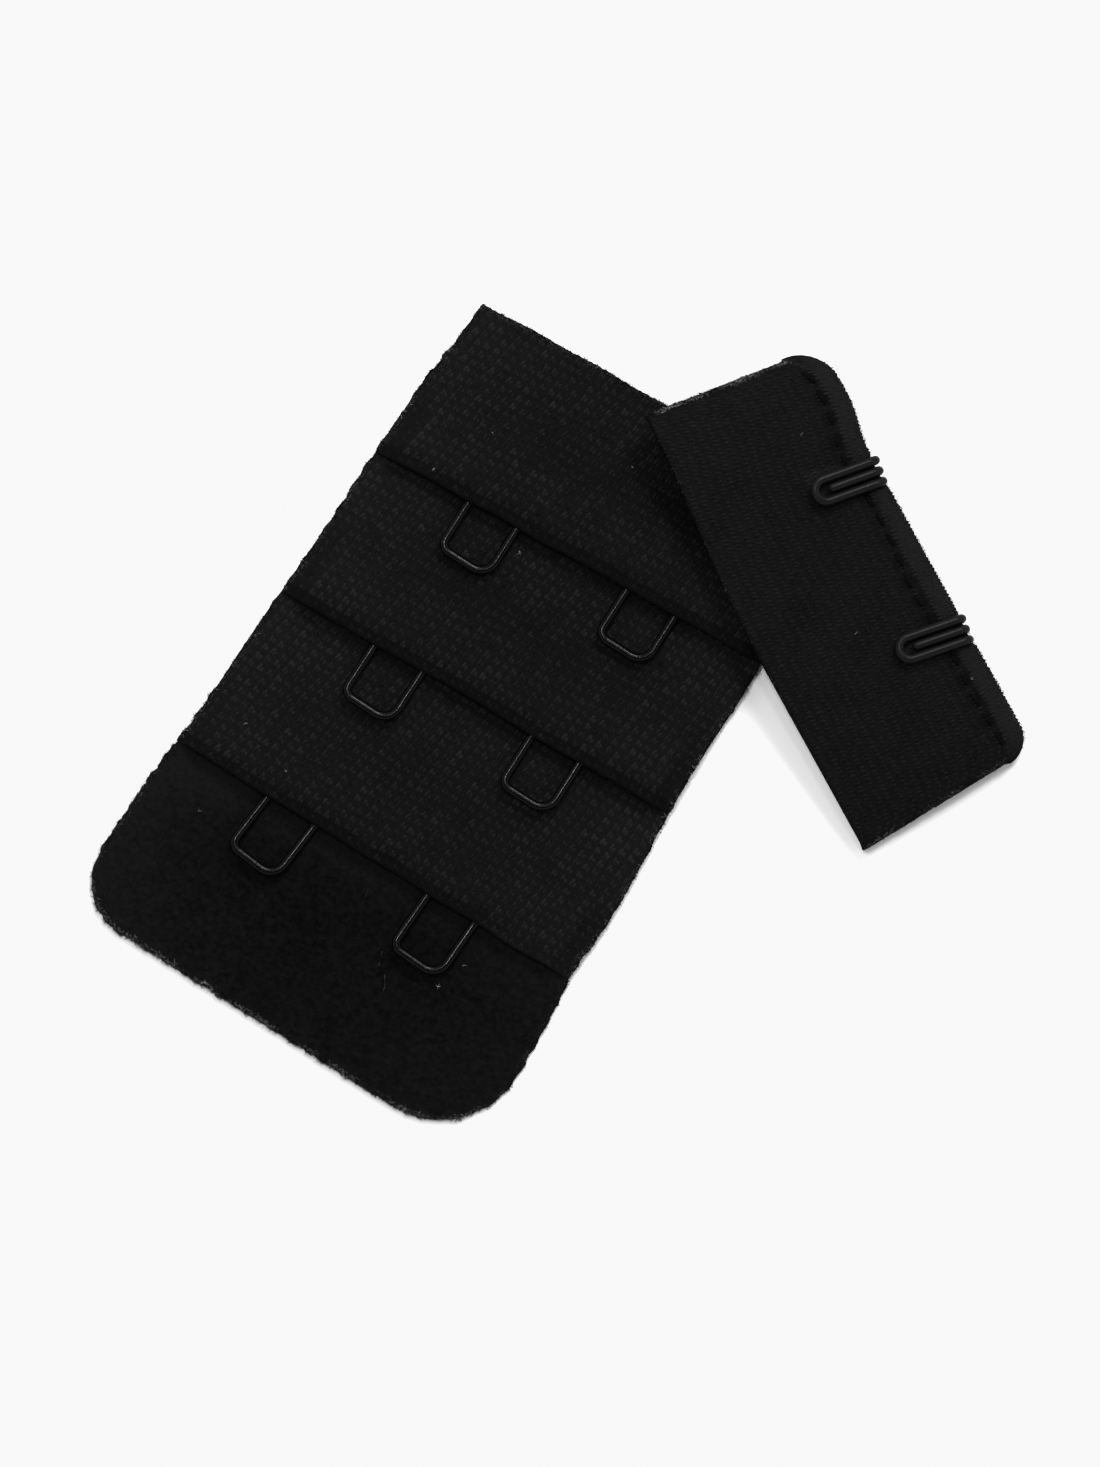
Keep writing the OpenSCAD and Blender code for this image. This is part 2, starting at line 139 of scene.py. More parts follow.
# %% Sizes of the eye tape
TAPE_LENGTH = 64.7
TAPE_WIDTH = 39.5
LEFT_LEAN = 5.7
RIGHT_LEAN = 1.7
BOTTOM_FALL = 3.3
LEFT_CORNER_R = 5.4
RIGHT_CORNER_R = 7.9
BACKING_T = 0.9
KNIT_T = 0.5
HEM_WIDTH = 5
TUCK_LENGTH = 5.5
FEET_END = 3.3
SETTLE_LENGTH = 10.6
SIDE_PRESS = 2.6
PRESSED_SHARE = 0.55
CREASE_PRESS = 1.9
CREASE_SHARE = 0.5
ROW_PITCH = 15.9
WIRE_D = 0.8
CLEARANCE = 0.05
# Crease below the top edge in row pitches, and its fall to the right in degrees
CREASES = [(1.00, 0.0), (1.95, 0.8), (2.99, 2.4)]

tape_top = TAPE_LENGTH / 2
layer_floor = BACKING_T + CLEARANCE


def left_x(y):
    return -TAPE_WIDTH / 2 + y * tan(LEFT_LEAN)


def right_x(y):
    return TAPE_WIDTH / 2 + y * tan(RIGHT_LEAN)


def crease_y(row, x):
    below, fall = CREASES[row]
    return tape_top - below * ROW_PITCH - x * tan(fall)


print("creases at", [round(crease_y(row, 0), 2) for row in range(3)])

# %% [markdown]
# The tape was cut by hand, so its sides wander. These lists give how far outside the straight
# line each cut runs, at heights up the tape, and how far the top edge dips.

# %% Hand-cut edges
LEFT_OUT = [(-33, 0.1), (-24, 0.3), (-17, 0.33), (-12, 0.03), (-5, 0.13), (4, 0.08), (10, 0.2)]
LEFT_OUT += [(14, 0.4), (20, 0.27), (24.5, 0.42), (28, 0.12), (33, 0)]
RIGHT_OUT = [(-33, 0), (-24, 0.08), (-19, 0), (-15, -0.4), (-11, -0.03), (-7, 0.05), (-1, -0.15)]
RIGHT_OUT += [(3, -0.33), (8, -0.35), (14, 0)]
TOP_DIP = [(1, 0), (4, 0.2), (9, 0.2), (12, 0)]
JAG = 0.05
JAG_PITCH = 0.55
TOOTH = 0.12
TOOTH_PITCH = 1.5
SIDE_CUT_POWER = 6
TOP_DIP_REACH = 4
TOP_JAG_REACH = 1


def as_cut(share, x, y):
    """Moves a place near a side or near the top edge to where the cloth was really cut."""
    jag = JAG * waver(0 * x, y, JAG_PITCH, 71) + TOOTH * waver(0 * x, y, TOOTH_PITCH, 74)
    left = (follow(LEFT_OUT, y) + jag) * (1 - share) ** SIDE_CUT_POWER
    right = (follow(RIGHT_OUT, y) - jag) * share**SIDE_CUT_POWER
    dip = follow(TOP_DIP, x) * smooth((y - tape_top + TOP_DIP_REACH) / TOP_DIP_REACH)
    top_jag = JAG * (1 + waver(x, 0 * x, JAG_PITCH, 72))
    top_jag = top_jag * smooth((y - tape_top + TOP_JAG_REACH) / TOP_JAG_REACH)
    return x + right - left, y - dip - top_jag


print("the right side is cut", round(-float(follow(RIGHT_OUT, 6)), 2), "mm inside its line")

# %% Where the knit of a flap lies
CREASE_WAVER = 0.1
CREASE_WAVER_PITCH = 9
FLAP_WAVER = 0.04
FLAP_WAVER_PITCH = 7


def side_press(share):
    """0 at the two sides, where the layers are pressed together, and 1 between them."""
    return smooth(np.minimum(share, 1 - share) * TAPE_WIDTH / SIDE_PRESS)


def knit_share(share, way):
    """The knit's thickness at a place, as a share of its full thickness."""
    at_crease = mix(CREASE_SHARE, 1, smooth(np.abs(way) / CREASE_PRESS))
    return mix(PRESSED_SHARE, 1, side_press(share)) * at_crease


def layer_z(row, s, press, squeeze):
    """Height of the top layer's underside, at s along the flap from its crease."""
    tuck = KNIT_T * mix(PRESSED_SHARE, 1, press) + CLEARANCE if row < 2 else 0
    return (
        layer_floor
        + tuck * fade(s, TUCK_LENGTH + CLEARANCE, SETTLE_LENGTH)
        + KNIT_T * squeeze * fade(s, HEM_WIDTH, SETTLE_LENGTH)
        + (WIRE_D + CLEARANCE) * press * fade(s, FEET_END, SETTLE_LENGTH)
    )


def flap_surface(row):
    """A function for one flap. It takes the share from the left side, the way along the knit
    from the tip of its crease, which is negative along the hem, and the height out of the
    middle of the knit, and gives the place in the clasp."""

    def place(share, way, out):
        level = crease_y(row, 0)
        across = mix(left_x(level), right_x(level), share)
        wander = CREASE_WAVER * waver(across, 0, CREASE_WAVER_PITCH, 20 + row)
        press = side_press(share)
        squeeze = knit_share(share, way)
        t = KNIT_T * squeeze
        rise = t / 2 + out * squeeze
        quarter = math.pi * t / 4
        angle = np.clip(way, -quarter, quarter) * 2 / t
        past = np.abs(way) - quarter
        s = np.where(past > 0, t + past, t - rise * np.cos(angle))
        z = layer_z(row, s, press, squeeze)
        z = z + rise * np.where(past > 0, np.sign(way), np.sin(angle))
        y = crease_y(row, across) + wander + s
        x = mix(left_x(y), right_x(y), share)
        z = z + FLAP_WAVER * press * waver(x, y, FLAP_WAVER_PITCH, 30 + row)
        x, y = as_cut(share, x, y)
        return np.stack([x, y, z], axis=-1)

    return place


flaps = [flap_surface(row) for row in range(3)]
print("a crease tip lies at", flaps[0](0.5, 0.0, 0.0).round(2))

# %% [markdown]
# Black cloth shows its lie by its gloss. Pressed knit shines a little where it lies flat and
# less where it slopes down from the eyes; here that is painted shade in the knit's tone.
# Painted sheen makes it lighter towards the sides, and painted light lighter towards the left.
# Painted shade darkens its creases, and painted shadow the knit just below the crease above,
# but the last crease is pressed flat towards the right, where its painted shade fades. The
# tone of a place says this as a number from 0, dark, to 1, light.

# %% Tone of the flaps' knit
# Tone at lengths along the flap from its crease: painted shade where the knit slopes down
WAY_SHADE_TONES = [(0, 0.42), (4, 0.4), (7, 0.27), (9, 0.31), (12, 0.45), (16, 0.48)]
# Painted light towards the left and painted sheen towards both sides
LEFT_PAINTED_LIGHT = 0.08
SIDE_PAINTED_SHEEN = 0.36
# Painted shade on slopes and along the creases, and painted shadow just below the crease above
SLOPE_PAINTED_SHADE = 1
CREASE_PAINTED_SHADE = 0.42
CREASE_SHADE_BAND = (0.7, 1.7)
LAST_CREASE_FADE = (5, 14)
TUCK_PAINTED_SHADOW = 0.12
TUCK_SHADOW_BAND = (0.1, 1.8)
SHARE_STEP = 0.001
WAY_STEP = 0.02


def face_lean(surface, across, along, step):
    """How far the cloth's face leans away from straight up, from 0 to 1. It sets painted shade.
    """
    here = surface(across, along, 0)
    aside = surface(across + step, along, 0) - here
    ahead = surface(across, along + WAY_STEP, 0) - here
    return 1 - unit(np.cross(aside, ahead))[:, 2]


# The knit's tone is mostly painted light and shade, set by place and slope
def knit_tone(row, share, way):
    x, y = flaps[row](share, way, 0)[:, :2].T
    tone = follow(WAY_SHADE_TONES, way)
    tone = tone + LEFT_PAINTED_LIGHT * (0.5 - share) + SIDE_PAINTED_SHEEN * np.abs(2 * share - 1) ** 3
    flat_end = fade(x, *LAST_CREASE_FADE) if row == 2 else 1
    tone = tone - CREASE_PAINTED_SHADE * fade(np.abs(way), *CREASE_SHADE_BAND) * flat_end
    if row:
        tone = tone - TUCK_PAINTED_SHADOW * fade(crease_y(row - 1, x) - y, *TUCK_SHADOW_BAND)
    return np.clip(tone - SLOPE_PAINTED_SHADE * face_lean(flaps[row], share, way, SHARE_STEP), 0, 1)


print("tone in the middle of a flap", knit_tone(0, np.array([0.5]), np.array([8.0])).round(2))

# %% [markdown]
# The hook tape is one piece of cloth folded along its hook side. Its places are u, along the
# strip from the end on the eye tape to the end on the table, and back, the way across the
# cloth from the tip of the fold, negative on the upper layer and positive on the lower one.
# The strip leans on the first flap and on the eye tape's corner, and bows down to the table.

# %% Sizes of the hook tape
STRIP_LENGTH = 41.2
STRIP_WIDTH = 17.35
STRIP_LAYER_T = 0.65
STRIP_MOUTH = 0.45
HIGH_END_SLANT = 7.4
LOW_END_SLANT = -2.6
HIGH_CORNER_R = 3
LOW_CORNER_R = 2.1
FOLD_SWELL = 0.8
OPEN_SIDE_DRAW = 1.6
DRAW_POWER = 1.5
STITCH_INSET = 2.4
HOOK_SHANK = 5.5
LIE_TURN = -31.9
LIE_RIGHT = 2.1
LIE_BELOW = 7.2
LIE_LIFT = 0.8
LEAN_GAP = 0.3
TABLE_GAP = 0.03

strip_end = STRIP_LENGTH / 2
strip_side = STRIP_WIDTH / 2
slit = WIRE_D + 4 * CLEARANCE
strip_t = 2 * STRIP_LAYER_T + slit
strip_mid = strip_t / 2
fold_r = strip_mid - STRIP_LAYER_T / 2
fold_quarter = math.pi / 2 * fold_r
strip_middle = np.array([right_x(tape_top) + LIE_RIGHT, tape_top - LIE_BELOW])
turn_cos = math.cos(math.radians(LIE_TURN))
turn_sin = math.sin(math.radians(LIE_TURN))


def from_strip(u, v):
    x = strip_middle[0] + u * turn_cos - v * turn_sin
    y = strip_middle[1] + u * turn_sin + v * turn_cos
    return x, y


def to_strip(x, y):
    dx = x - strip_middle[0]
    dy = y - strip_middle[1]
    return dx * turn_cos + dy * turn_sin, dy * turn_cos - dx * turn_sin


# %% How the strip leans and bows
crest_z = layer_floor + KNIT_T + CLEARANCE + WIRE_D + CLEARANCE + 2 * KNIT_T
crest_y = crease_y(0, right_x(tape_top)) + FEET_END
crest_place = to_strip(right_x(crest_y) - SIDE_PRESS, crest_y)
corner_place = to_strip(right_x(tape_top), tape_top)
corner_z = layer_floor + KNIT_T
rest_heights = [crest_z + LEAN_GAP + LIE_LIFT, crest_z + LEAN_GAP, TABLE_GAP]
bow_curve = np.polyfit([-strip_end, crest_place[0], strip_end], rest_heights, 2)


def bow(u):
    return np.polyval(bow_curve, u)


full_roll = (bow(corner_place[0]) - corner_z - LEAN_GAP) / (corner_place[1] - crest_place[1])


def under_z(u, v):
    roll = full_roll * smooth((strip_end - u) / (strip_end - crest_place[0]))
    return bow(u) - roll * (v - crest_place[1])


def slit_at(v):
    opening = 2 * strip_side - strip_t - HOOK_SHANK
    return mix(STRIP_MOUTH, slit, smooth((v + strip_side) / opening))


def corner_draw(u):
    """How far the two rounded corners draw the fold in, at u along the strip."""
    return round_corner(u + strip_end, HIGH_CORNER_R) + round_corner(strip_end - u, LOW_CORNER_R)


def fold_v(u):
    return strip_side + FOLD_SWELL * fade(u, -strip_end / 1.3, -strip_end / 2) - corner_draw(u)


def open_v(u):
    return -strip_side + OPEN_SIDE_DRAW * fade(u, -strip_end, strip_end / 4) ** DRAW_POWER


def half_way(u):
    """The way across one layer, from the tip of the fold to the open side."""
    return fold_quarter + fold_v(u) - strip_mid - open_v(u)


def end_slant(u):
    return mix(tan(HIGH_END_SLANT), tan(LOW_END_SLANT), smooth((u + strip_end) / STRIP_LENGTH))


print("the strip's high end lies", round(float(bow(-strip_end)), 2), "mm up")

# %% [markdown]
# The stitches sink a groove beside the fold, deepest where the thread goes down. The hooks
# come out of the fold, and the cloth gives way to their wires.

# %% Stitches and hooks press into the strip
HOOK_PITCH = 15.9
HOOK_SHIFT = 0.5
HOOK_WIDTH = 1.95
HOOK_TURN = 9.5
HOOK_REACH = 5.8
HOOK_DENT = 0.16
DENT_REACH = 1.1
DENT_BAND = (0.35, 0.75)
DENT_TAPER = 0.8
STITCH_PITCH = 2.05
STITCH_WANDER = 0.25
WANDER_PITCH = 14
STITCH_DEPTH = 0.24
STITCH_SPREAD = 1.0
# Depth between two holes of the thread and at a hole, as shares
HOLE_DEPTHS = (0.55, 1.25)


def along_fold(u):
    """Where on the cloth a hook stands, which the slant of the ends has moved along."""
    near = u - end_slant(u) * fold_v(u)
    return u - end_slant(near) * fold_v(near)


hook_places = [along_fold(HOOK_SHIFT - HOOK_PITCH / 2), along_fold(HOOK_SHIFT + HOOK_PITCH / 2)]


def stitch_v(u):
    wander = STITCH_WANDER * waver(u, 0, WANDER_PITCH, 5)
    return fold_v(u) + corner_draw(u) - STITCH_INSET + wander


def stitch_sunk(u, v):
    """Depth of the groove: deeper where the thread goes through the cloth."""
    beside = np.abs(v - stitch_v(u)) / STITCH_SPREAD
    through = 0.5 - 0.5 * np.cos(2 * math.pi * u / STITCH_PITCH)
    return STITCH_DEPTH * (1 - smooth(beside)) * mix(*HOLE_DEPTHS, through)


def under_hooks(u, v, reach):
    """1 under both hooks, as far in from the fold as reach, and 0 elsewhere."""
    under = 0
    for place in hook_places:
        inside = fold_v(place) - v
        side = np.abs(u - place + inside * tan(HOOK_TURN))
        near = fade(side - HOOK_WIDTH / 2, *DENT_BAND)
        under = under + near * fade(inside, reach, reach + DENT_TAPER)
    return under


def hook_sunk(u, v):
    """Depth that the wires of both hooks press into the fold."""
    return HOOK_DENT * under_hooks(u, v, DENT_REACH)


def strip_surface(u, back, out):
    """The place of the strip's cloth at u along it and at a way back across it."""
    fold = fold_v(u)
    past = np.abs(back) - fold_quarter
    angle = -np.clip(back, -fold_quarter, fold_quarter) / fold_r
    flat_v = fold - strip_mid - np.maximum(past, 0)
    edge_v = np.where(past > 0, flat_v, fold - strip_mid + fold_r * np.cos(angle))
    out = out - hook_sunk(u, edge_v) * (back < fold_quarter)
    rise = fold_r + out
    v = np.where(past > 0, flat_v, fold - strip_mid + rise * np.cos(angle))
    upper = slit_at(v) + 1.5 * STRIP_LAYER_T + out - stitch_sunk(u, v)
    lower = STRIP_LAYER_T / 2 - out
    folded = strip_mid + rise * np.sin(angle)
    z = np.where(past > 0, np.where(back < 0, upper, lower), folded)
    x, y = from_strip(u + end_slant(u) * v, v)
    return np.stack([x, y, under_z(u, v) + z], axis=-1)


print("the fold's tip lies at", strip_surface(0.0, 0.0, 0.0).round(2))

# %% Tone of the strip
# Painted shade at the stitches and on slopes; painted light over the fold, at the high end and
# under the hooks
STRIP_TONE = 0.26
STITCH_PAINTED_SHADE = 0.5
STITCH_SHADE_BAND = (0.35, 0.9)
HOLE_SHADE_CONTRAST = 0.8
FOLD_PAINTED_HIGHLIGHT = 0.62
FOLD_HIGHLIGHT_BAND = (0.7, 1.7)
HIGH_END_PAINTED_LIGHT = 0.12
HOOK_GAP_PAINTED_LIGHT = 0.5
STRIP_SLOPE_PAINTED_SHADE = 0.5
U_STEP = 0.02


def strip_tone(u, back):
    """Painted shade where the stitches pull the cloth down, and painted light over the fold and
    at the high end. Painted light also lightens the shadowed cloth below the hooks, and slopes
    get painted shade."""
    place = stitch_v(u) - fold_v(u) + strip_mid - fold_quarter
    beside = fade(np.abs(back - place), *STITCH_SHADE_BAND) * (back < 0)
    through = smooth(0.5 + HOLE_SHADE_CONTRAST * np.cos(2 * math.pi * u / STITCH_PITCH))
    fold = fade(np.abs(back + fold_quarter / 2), *FOLD_HIGHLIGHT_BAND)
    tone = STRIP_TONE - STITCH_PAINTED_SHADE * beside * through + FOLD_PAINTED_HIGHLIGHT * fold
    tone = tone + HIGH_END_PAINTED_LIGHT * fade(u, -strip_end, -strip_end / 2)
    flat_v = fold_v(u) - strip_mid + fold_quarter + back
    tone = tone + HOOK_GAP_PAINTED_LIGHT * under_hooks(u, flat_v, HOOK_REACH) * (back < 0)
    return np.clip(tone - STRIP_SLOPE_PAINTED_SHADE * face_lean(strip_surface, u, back, U_STEP), 0, 1)


print("tone in the strip's middle", strip_tone(np.array([0.0]), np.array([-8.0])).round(2))

# %% [markdown]
# A sheet of cloth starts as a flat grid from a bmesh operator. Each point is moved to its place
# in the clasp, and Solidify gives the cloth its thickness. The rows of the grid lie close
# together only where the cloth turns sharply. Each point keeps its share of the full
# thickness, so that a pressed edge or crease comes out thinner.

# %% Make a sheet of cloth from a grid
def finish_mesh(bm, name, material):
    """An object from a bmesh whose points are in millimetres."""
    mesh = bpy.data.meshes.new(name)
    bm.to_mesh(mesh)
    bm.free()
    mesh.transform(Matrix.Scale(MM, 4))
    mesh.materials.append(material)
    mesh.shade_smooth()
    return add_object(name, mesh)


def grid_on(surface, columns, rows, tones):
    """A bmesh of a grid on a surface, each point with its tone, and the column and the row
    at which each point lies."""
    bm = bmesh.new()
    bmesh.ops.create_grid(bm, x_segments=len(columns) - 1, y_segments=len(rows) - 1, size=1)
    flat = np.array([vert.co for vert in bm.verts])
    column = np.rint((flat[:, 0] + 1) / 2 * (len(columns) - 1)).astype(int)
    row = np.rint((flat[:, 1] + 1) / 2 * (len(rows) - 1)).astype(int)
    across, along = columns[column], rows[row]
    tone = bm.verts.layers.float.new("tone")
    for vert, co, value in zip(bm.verts, surface(across, along), tones(across, along)):
        vert.co = co
        vert[tone] = value
    return bm, across, along


def make_sheet(name, surface, columns, rows, thickness, material, shares, tones):
    """A sheet on a surface. shares gives the share of the thickness at each place."""
    bm, across, along = grid_on(surface, columns, rows, tones)
    weights = bm.verts.layers.deform.verify()
    for vert, share in zip(bm.verts, shares(across, along)):
        vert[weights][0] = share
    sheet = finish_mesh(bm, name, material)
    sheet.vertex_groups.new(name="pressed")
    solid = sheet.modifiers.new("thickness", "SOLIDIFY")
    solid.thickness = thickness * MM
    solid.offset = 0
    solid.vertex_group = "pressed"
    return sheet


def lie_as(sheet, node):
    """Attaches a sheet to the root body and hides the solid model's part that it replaces."""
    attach(sheet, "root")
    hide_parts(node)


# %% [markdown]
# Loops of knit and hairs of plush are small shapes repeated thousands of times. One Array
# modifier makes the copies, and each point of each copy is then moved to its own place. A loop
# is laid on the cloth's surface point by point, so it bends round a crease as real yarn does.
# A value for each copy, its tone, is stored on the mesh for the material to read.

# %% Copy a small shape to many places
def make_copies(name, shape, points, tones, material):
    """One piece of many copies. points holds the places of each copy's own points."""
    single = bpy.data.meshes.new(name + "_one")
    shape.to_mesh(single)
    shape.free()
    maker = add_object(name + "_maker", single)
    array = maker.modifiers.new("copies", "ARRAY")
    array.count = len(points)
    made = maker.evaluated_get(bpy.context.evaluated_depsgraph_get())
    mesh = bpy.data.meshes.new_from_object(made)
    bpy.data.objects.remove(maker)
    mesh.name = name
    mesh.vertices.foreach_set("co", (points * MM).astype(np.float32).ravel())
    tone = mesh.attributes.new("tone", "FLOAT", "POINT")
    tone.data.foreach_set("value", np.repeat(tones, points.shape[1]).astype(np.float32))
    mesh.materials.clear()
    mesh.materials.append(material)
    mesh.shade_smooth()
    mesh.update()
    piece = add_object(name, mesh)
    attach(piece, "root")
    print(name, "has", len(points), "copies of", points.shape[1], "points")
    return piece


def points_of(shape):
    return np.array([vert.co for vert in shape.verts])


def laid(shape, surface, across, along, turns, scales, out, wide=1):
    """Points of copies laid on cloth. wide is how many millimetres 1 across stands for."""
    one = points_of(shape)
    x = one[:, 0] * scales[:, :1]
    y = one[:, 1] * scales[:, 1:]
    angle = np.radians(turns)[:, None]
    aside = (x * np.cos(angle) - y * np.sin(angle)) / wide
    ahead = x * np.sin(angle) + y * np.cos(angle)
    return surface(across[:, None] + aside, along[:, None] + ahead, out + one[:, 2])


def stood(shape, places, stems, bends, scales):
    """Points of copies that stand at places, with their third axis along stems and their
    second as near to bends as it can be."""
    one = points_of(shape)
    up = unit(stems)
    side = unit(np.cross(bends, up))
    axes = np.stack([side, np.cross(up, side), up], axis=1) * scales[:, None, None]
    return places[:, None, :] + np.einsum("ki,nij->nkj", one, axes)


# %% [markdown]
# The wires come from the solid model, and yarn gives way to them. These lines measure how near
# a loop of yarn comes to a wire, and loops too near are left out.

# %% How near the wires are
wire_names = [name for name in nodes if name.startswith("eye_") and name[4].isdigit()]
wire_names += ["hook_upper", "hook_upper_tongue", "hook_lower", "hook_lower_tongue"]
# No part of a loop is farther than this from its middle
LOOP_SPAN = 1.2
wire_points = np.concatenate(
    [np.array([vert.co for vert in nodes[name].data.vertices]) / MM for name in wire_names]
)
wire_tree = KDTree(len(wire_points))
for index, point in enumerate(wire_points):
    wire_tree.insert(point, index)
wire_tree.balance()


def clear_of_wires(points, gap):
    """Which copies keep at least a gap, in millimetres, between their points and all wires."""
    low = points.min(axis=1) - gap
    high = points.max(axis=1) + gap
    clear = np.ones(len(points), bool)
    for index in range(len(points)):
        middle = (low[index] + high[index]) / 2
        if wire_tree.find(middle)[2] < LOOP_SPAN:
            clear[index] = min(wire_tree.find(point)[2] for point in points[index]) > gap
    return clear


print("there are", len(wire_names), "wires")

# %% [markdown]
# Black cloth reflects under one hundredth of the light, and much of that is a faint gloss on
# the rounded yarns. So each cloth has a very dark base and a weak broad gloss. Noise in the
# cloth's own coordinates varies the colour, and a bump gives the fine fibres in each yarn.

# %% Cloth materials
NOISE_ROUGHNESS = 0.6
PATCH_TONE = 0.09
# Blue of black cloth, as a share of its red and green
BLUE = 1.02


def node_material(name):
    material = bpy.data.materials.new(name)
    material.use_nodes = True
    tree = material.node_tree
    return material, tree, tree.nodes["Principled BSDF"]


def add_noise(tree, pitch_mm, detail, contrast, low=0.0, high=1.0):
    """Noise that goes from low to high, whose features are about pitch_mm wide."""
    coordinates = tree.nodes.new("ShaderNodeTexCoord")
    noise = tree.nodes.new("ShaderNodeTexNoise")
    noise.inputs["Scale"].default_value = 1 / (pitch_mm * MM)
    noise.inputs["Detail"].default_value = detail
    noise.inputs["Roughness"].default_value = NOISE_ROUGHNESS
    tree.links.new(coordinates.outputs["Object"], noise.inputs["Vector"])
    spread = tree.nodes.new("ShaderNodeMapRange")
    spread.inputs["From Min"].default_value = 0.5 - 0.5 / contrast
    spread.inputs["From Max"].default_value = 0.5 + 0.5 / contrast
    spread.inputs["To Min"].default_value = low
    spread.inputs["To Max"].default_value = high
    tree.links.new(noise.outputs["Fac"], spread.inputs["Value"])
    return spread.outputs["Result"]


def add_math(tree, operation, a, b):
    node = tree.nodes.new("ShaderNodeMath")
    node.operation = operation
    for socket, value in zip(node.inputs, (a, b)):
        if isinstance(value, (int, float)):
            socket.default_value = value
        else:
            tree.links.new(value, socket)
    return node.outputs["Value"]


def add_bump(tree, shader, height, distance_mm, strength):
    bump = tree.nodes.new("ShaderNodeBump")
    bump.inputs["Distance"].default_value = distance_mm * MM
    bump.inputs["Strength"].default_value = strength
    tree.links.new(height, bump.inputs["Height"])
    tree.links.new(bump.outputs["Normal"], shader.inputs["Normal"])


def cloth_material(name, dark, light, gloss, roughness, patch_mm, grain_mm, grain, bump_mm):
    """Cloth whose colour goes from dark to light, both reflected shares of light. The tone
    that a piece stores leads the colour, and on most pieces it carries painted light and shade.
    Large patches and small grains vary it."""
    material, tree, shader = node_material(name)
    shader.inputs["Specular IOR Level"].default_value = gloss
    shader.inputs["Roughness"].default_value = roughness
    patches = add_noise(tree, patch_mm, 2, 2.2, -PATCH_TONE, PATCH_TONE)
    grains = add_noise(tree, grain_mm, 2, 2.5, -grain / 2, grain / 2)
    tone = tree.nodes.new("ShaderNodeAttribute")
    tone.attribute_name = "tone"
    factor = add_math(tree, "ADD", tone.outputs["Fac"], patches)
    factor = add_math(tree, "ADD", factor, grains)
    ramp = tree.nodes.new("ShaderNodeValToRGB")
    for element, share in zip(ramp.color_ramp.elements, (dark, light)):
        element.color = (share, share, share * BLUE, 1)
    tree.links.new(factor, ramp.inputs["Fac"])
    tree.links.new(ramp.outputs["Color"], shader.inputs["Base Color"])
    fibres = add_noise(tree, bump_mm, 2, 1.8)
    add_bump(tree, shader, fibres, bump_mm / 3, 0.7)
    return material


# Dark, light, gloss, roughness, patch and grain sizes, grain, bump size
CLOTHS = {
    "knit_ground": (0.002, 0.006, 0.03, 0.8, 2.5, 0.3, 0.4, 0.12),
    "knit_yarn": (0.0017, 0.0093, 0.05, 0.6, 2.5, 0.3, 0.5, 0.1),
    "strip_ground": (0.002, 0.008, 0.03, 0.8, 3, 0.3, 0.4, 0.12),
    "strip_yarn": (0.002, 0.008, 0.05, 0.6, 3, 0.3, 0.4, 0.1),
    "plush_nap": (0.001, 0.006, 0.02, 0.9, 1.6, 0.5, 0.5, 0.3),
    "plush_hair": (0.002, 0.01, 0.04, 0.7, 1.6, 0.3, 0.4, 0.1),
    # Black loose fibres, and pale ones that paint the highlight along cut edges
    "loose_fibre_and_edge_highlight": (0.003, 0.16, 0.04, 0.7, 1.6, 0.3, 0.2, 0.1),
    "sewing_thread": (0.0015, 0.004, 0.02, 0.7, 1, 0.3, 0.4, 0.08),
    "lint_white": (0.02, 0.2, 0.1, 0.8, 0.5, 0.2, 0.4, 0.08),
}
cloths = {name: cloth_material(name, *values) for name, values in CLOTHS.items()}
print(len(cloths), "cloth materials made")

# %% [markdown]
# The wires are steel under a coat of black nylon. The coat is glossy enough to show a thin line
# of light along each wire. It has faint dimples, and wear makes it rougher in places.

# %% Coated wire
WEAR = 0.1
WEAR_PITCH = 0.9
DIMPLE_PITCH = 0.25
DIMPLE_DEPTH = 0.02


def wire_material(name, base, gloss, dullness):
    material, tree, shader = node_material(name)
    shader.inputs["Base Color"].default_value = (base, base, base, 1)
    shader.inputs["Specular IOR Level"].default_value = gloss
    wear = add_noise(tree, WEAR_PITCH, 3, 2)
    roughness = add_math(tree, "ADD", add_math(tree, "MULTIPLY", wear, WEAR), dullness)
    tree.links.new(roughness, shader.inputs["Roughness"])
    dimples = add_noise(tree, DIMPLE_PITCH, 2, 1.5)
    add_bump(tree, shader, dimples, DIMPLE_DEPTH, 0.4)
    return material


eye_coat = wire_material("eye_coat", 0.001, 0.085, 0.17)
hook_coat = wire_material("hook_coat", 0.005, 0.08, 0.3)
for wire_name in wire_names:
    for slot in nodes[wire_name].material_slots:
        slot.material = hook_coat if wire_name.startswith("hook") else eye_coat
print("coats on", len(wire_names), "wires")

# %% [markdown]
# The backing is a thick plush. Its bottom and sides were cut with hot shears, which leaves
# small scallops. The grid is fine where the plush shows and coarse where the flaps hide it.
# Low lumps make the nap, and the cut rim is lighter, a painted highlight. The plain underside
# is the rim of the grid, extruded down and filled.

# %% Plush backing
SCALLOP = 0.08
BOTTOM_SCALLOP_PITCH = 1.3
SIDE_SCALLOP_PITCH = 1.1
BOTTOM_OUT = 0.15
NAP_LUMPS = 0.07
NAP_LUMP_PITCH = 0.7
NAP_GRAINS = 0.035
NAP_GRAIN_PITCH = 0.35
NAP_WAVES = 12
NAP_LOW = 0.1
NAP_END = 1.5
# Tone of the nap at heights up the tape. The high tone just below the last crease is
# painted light that lifts the crease's shadow there.
PLUSH_TONES = [(-33, 0.45), (-29.5, 0.42), (-26, 0.37), (-22, 0.3), (-18, 0.38), (-15, 0.9)]
PLUSH_SIDE_LIGHTS = (0.6, 0.25)
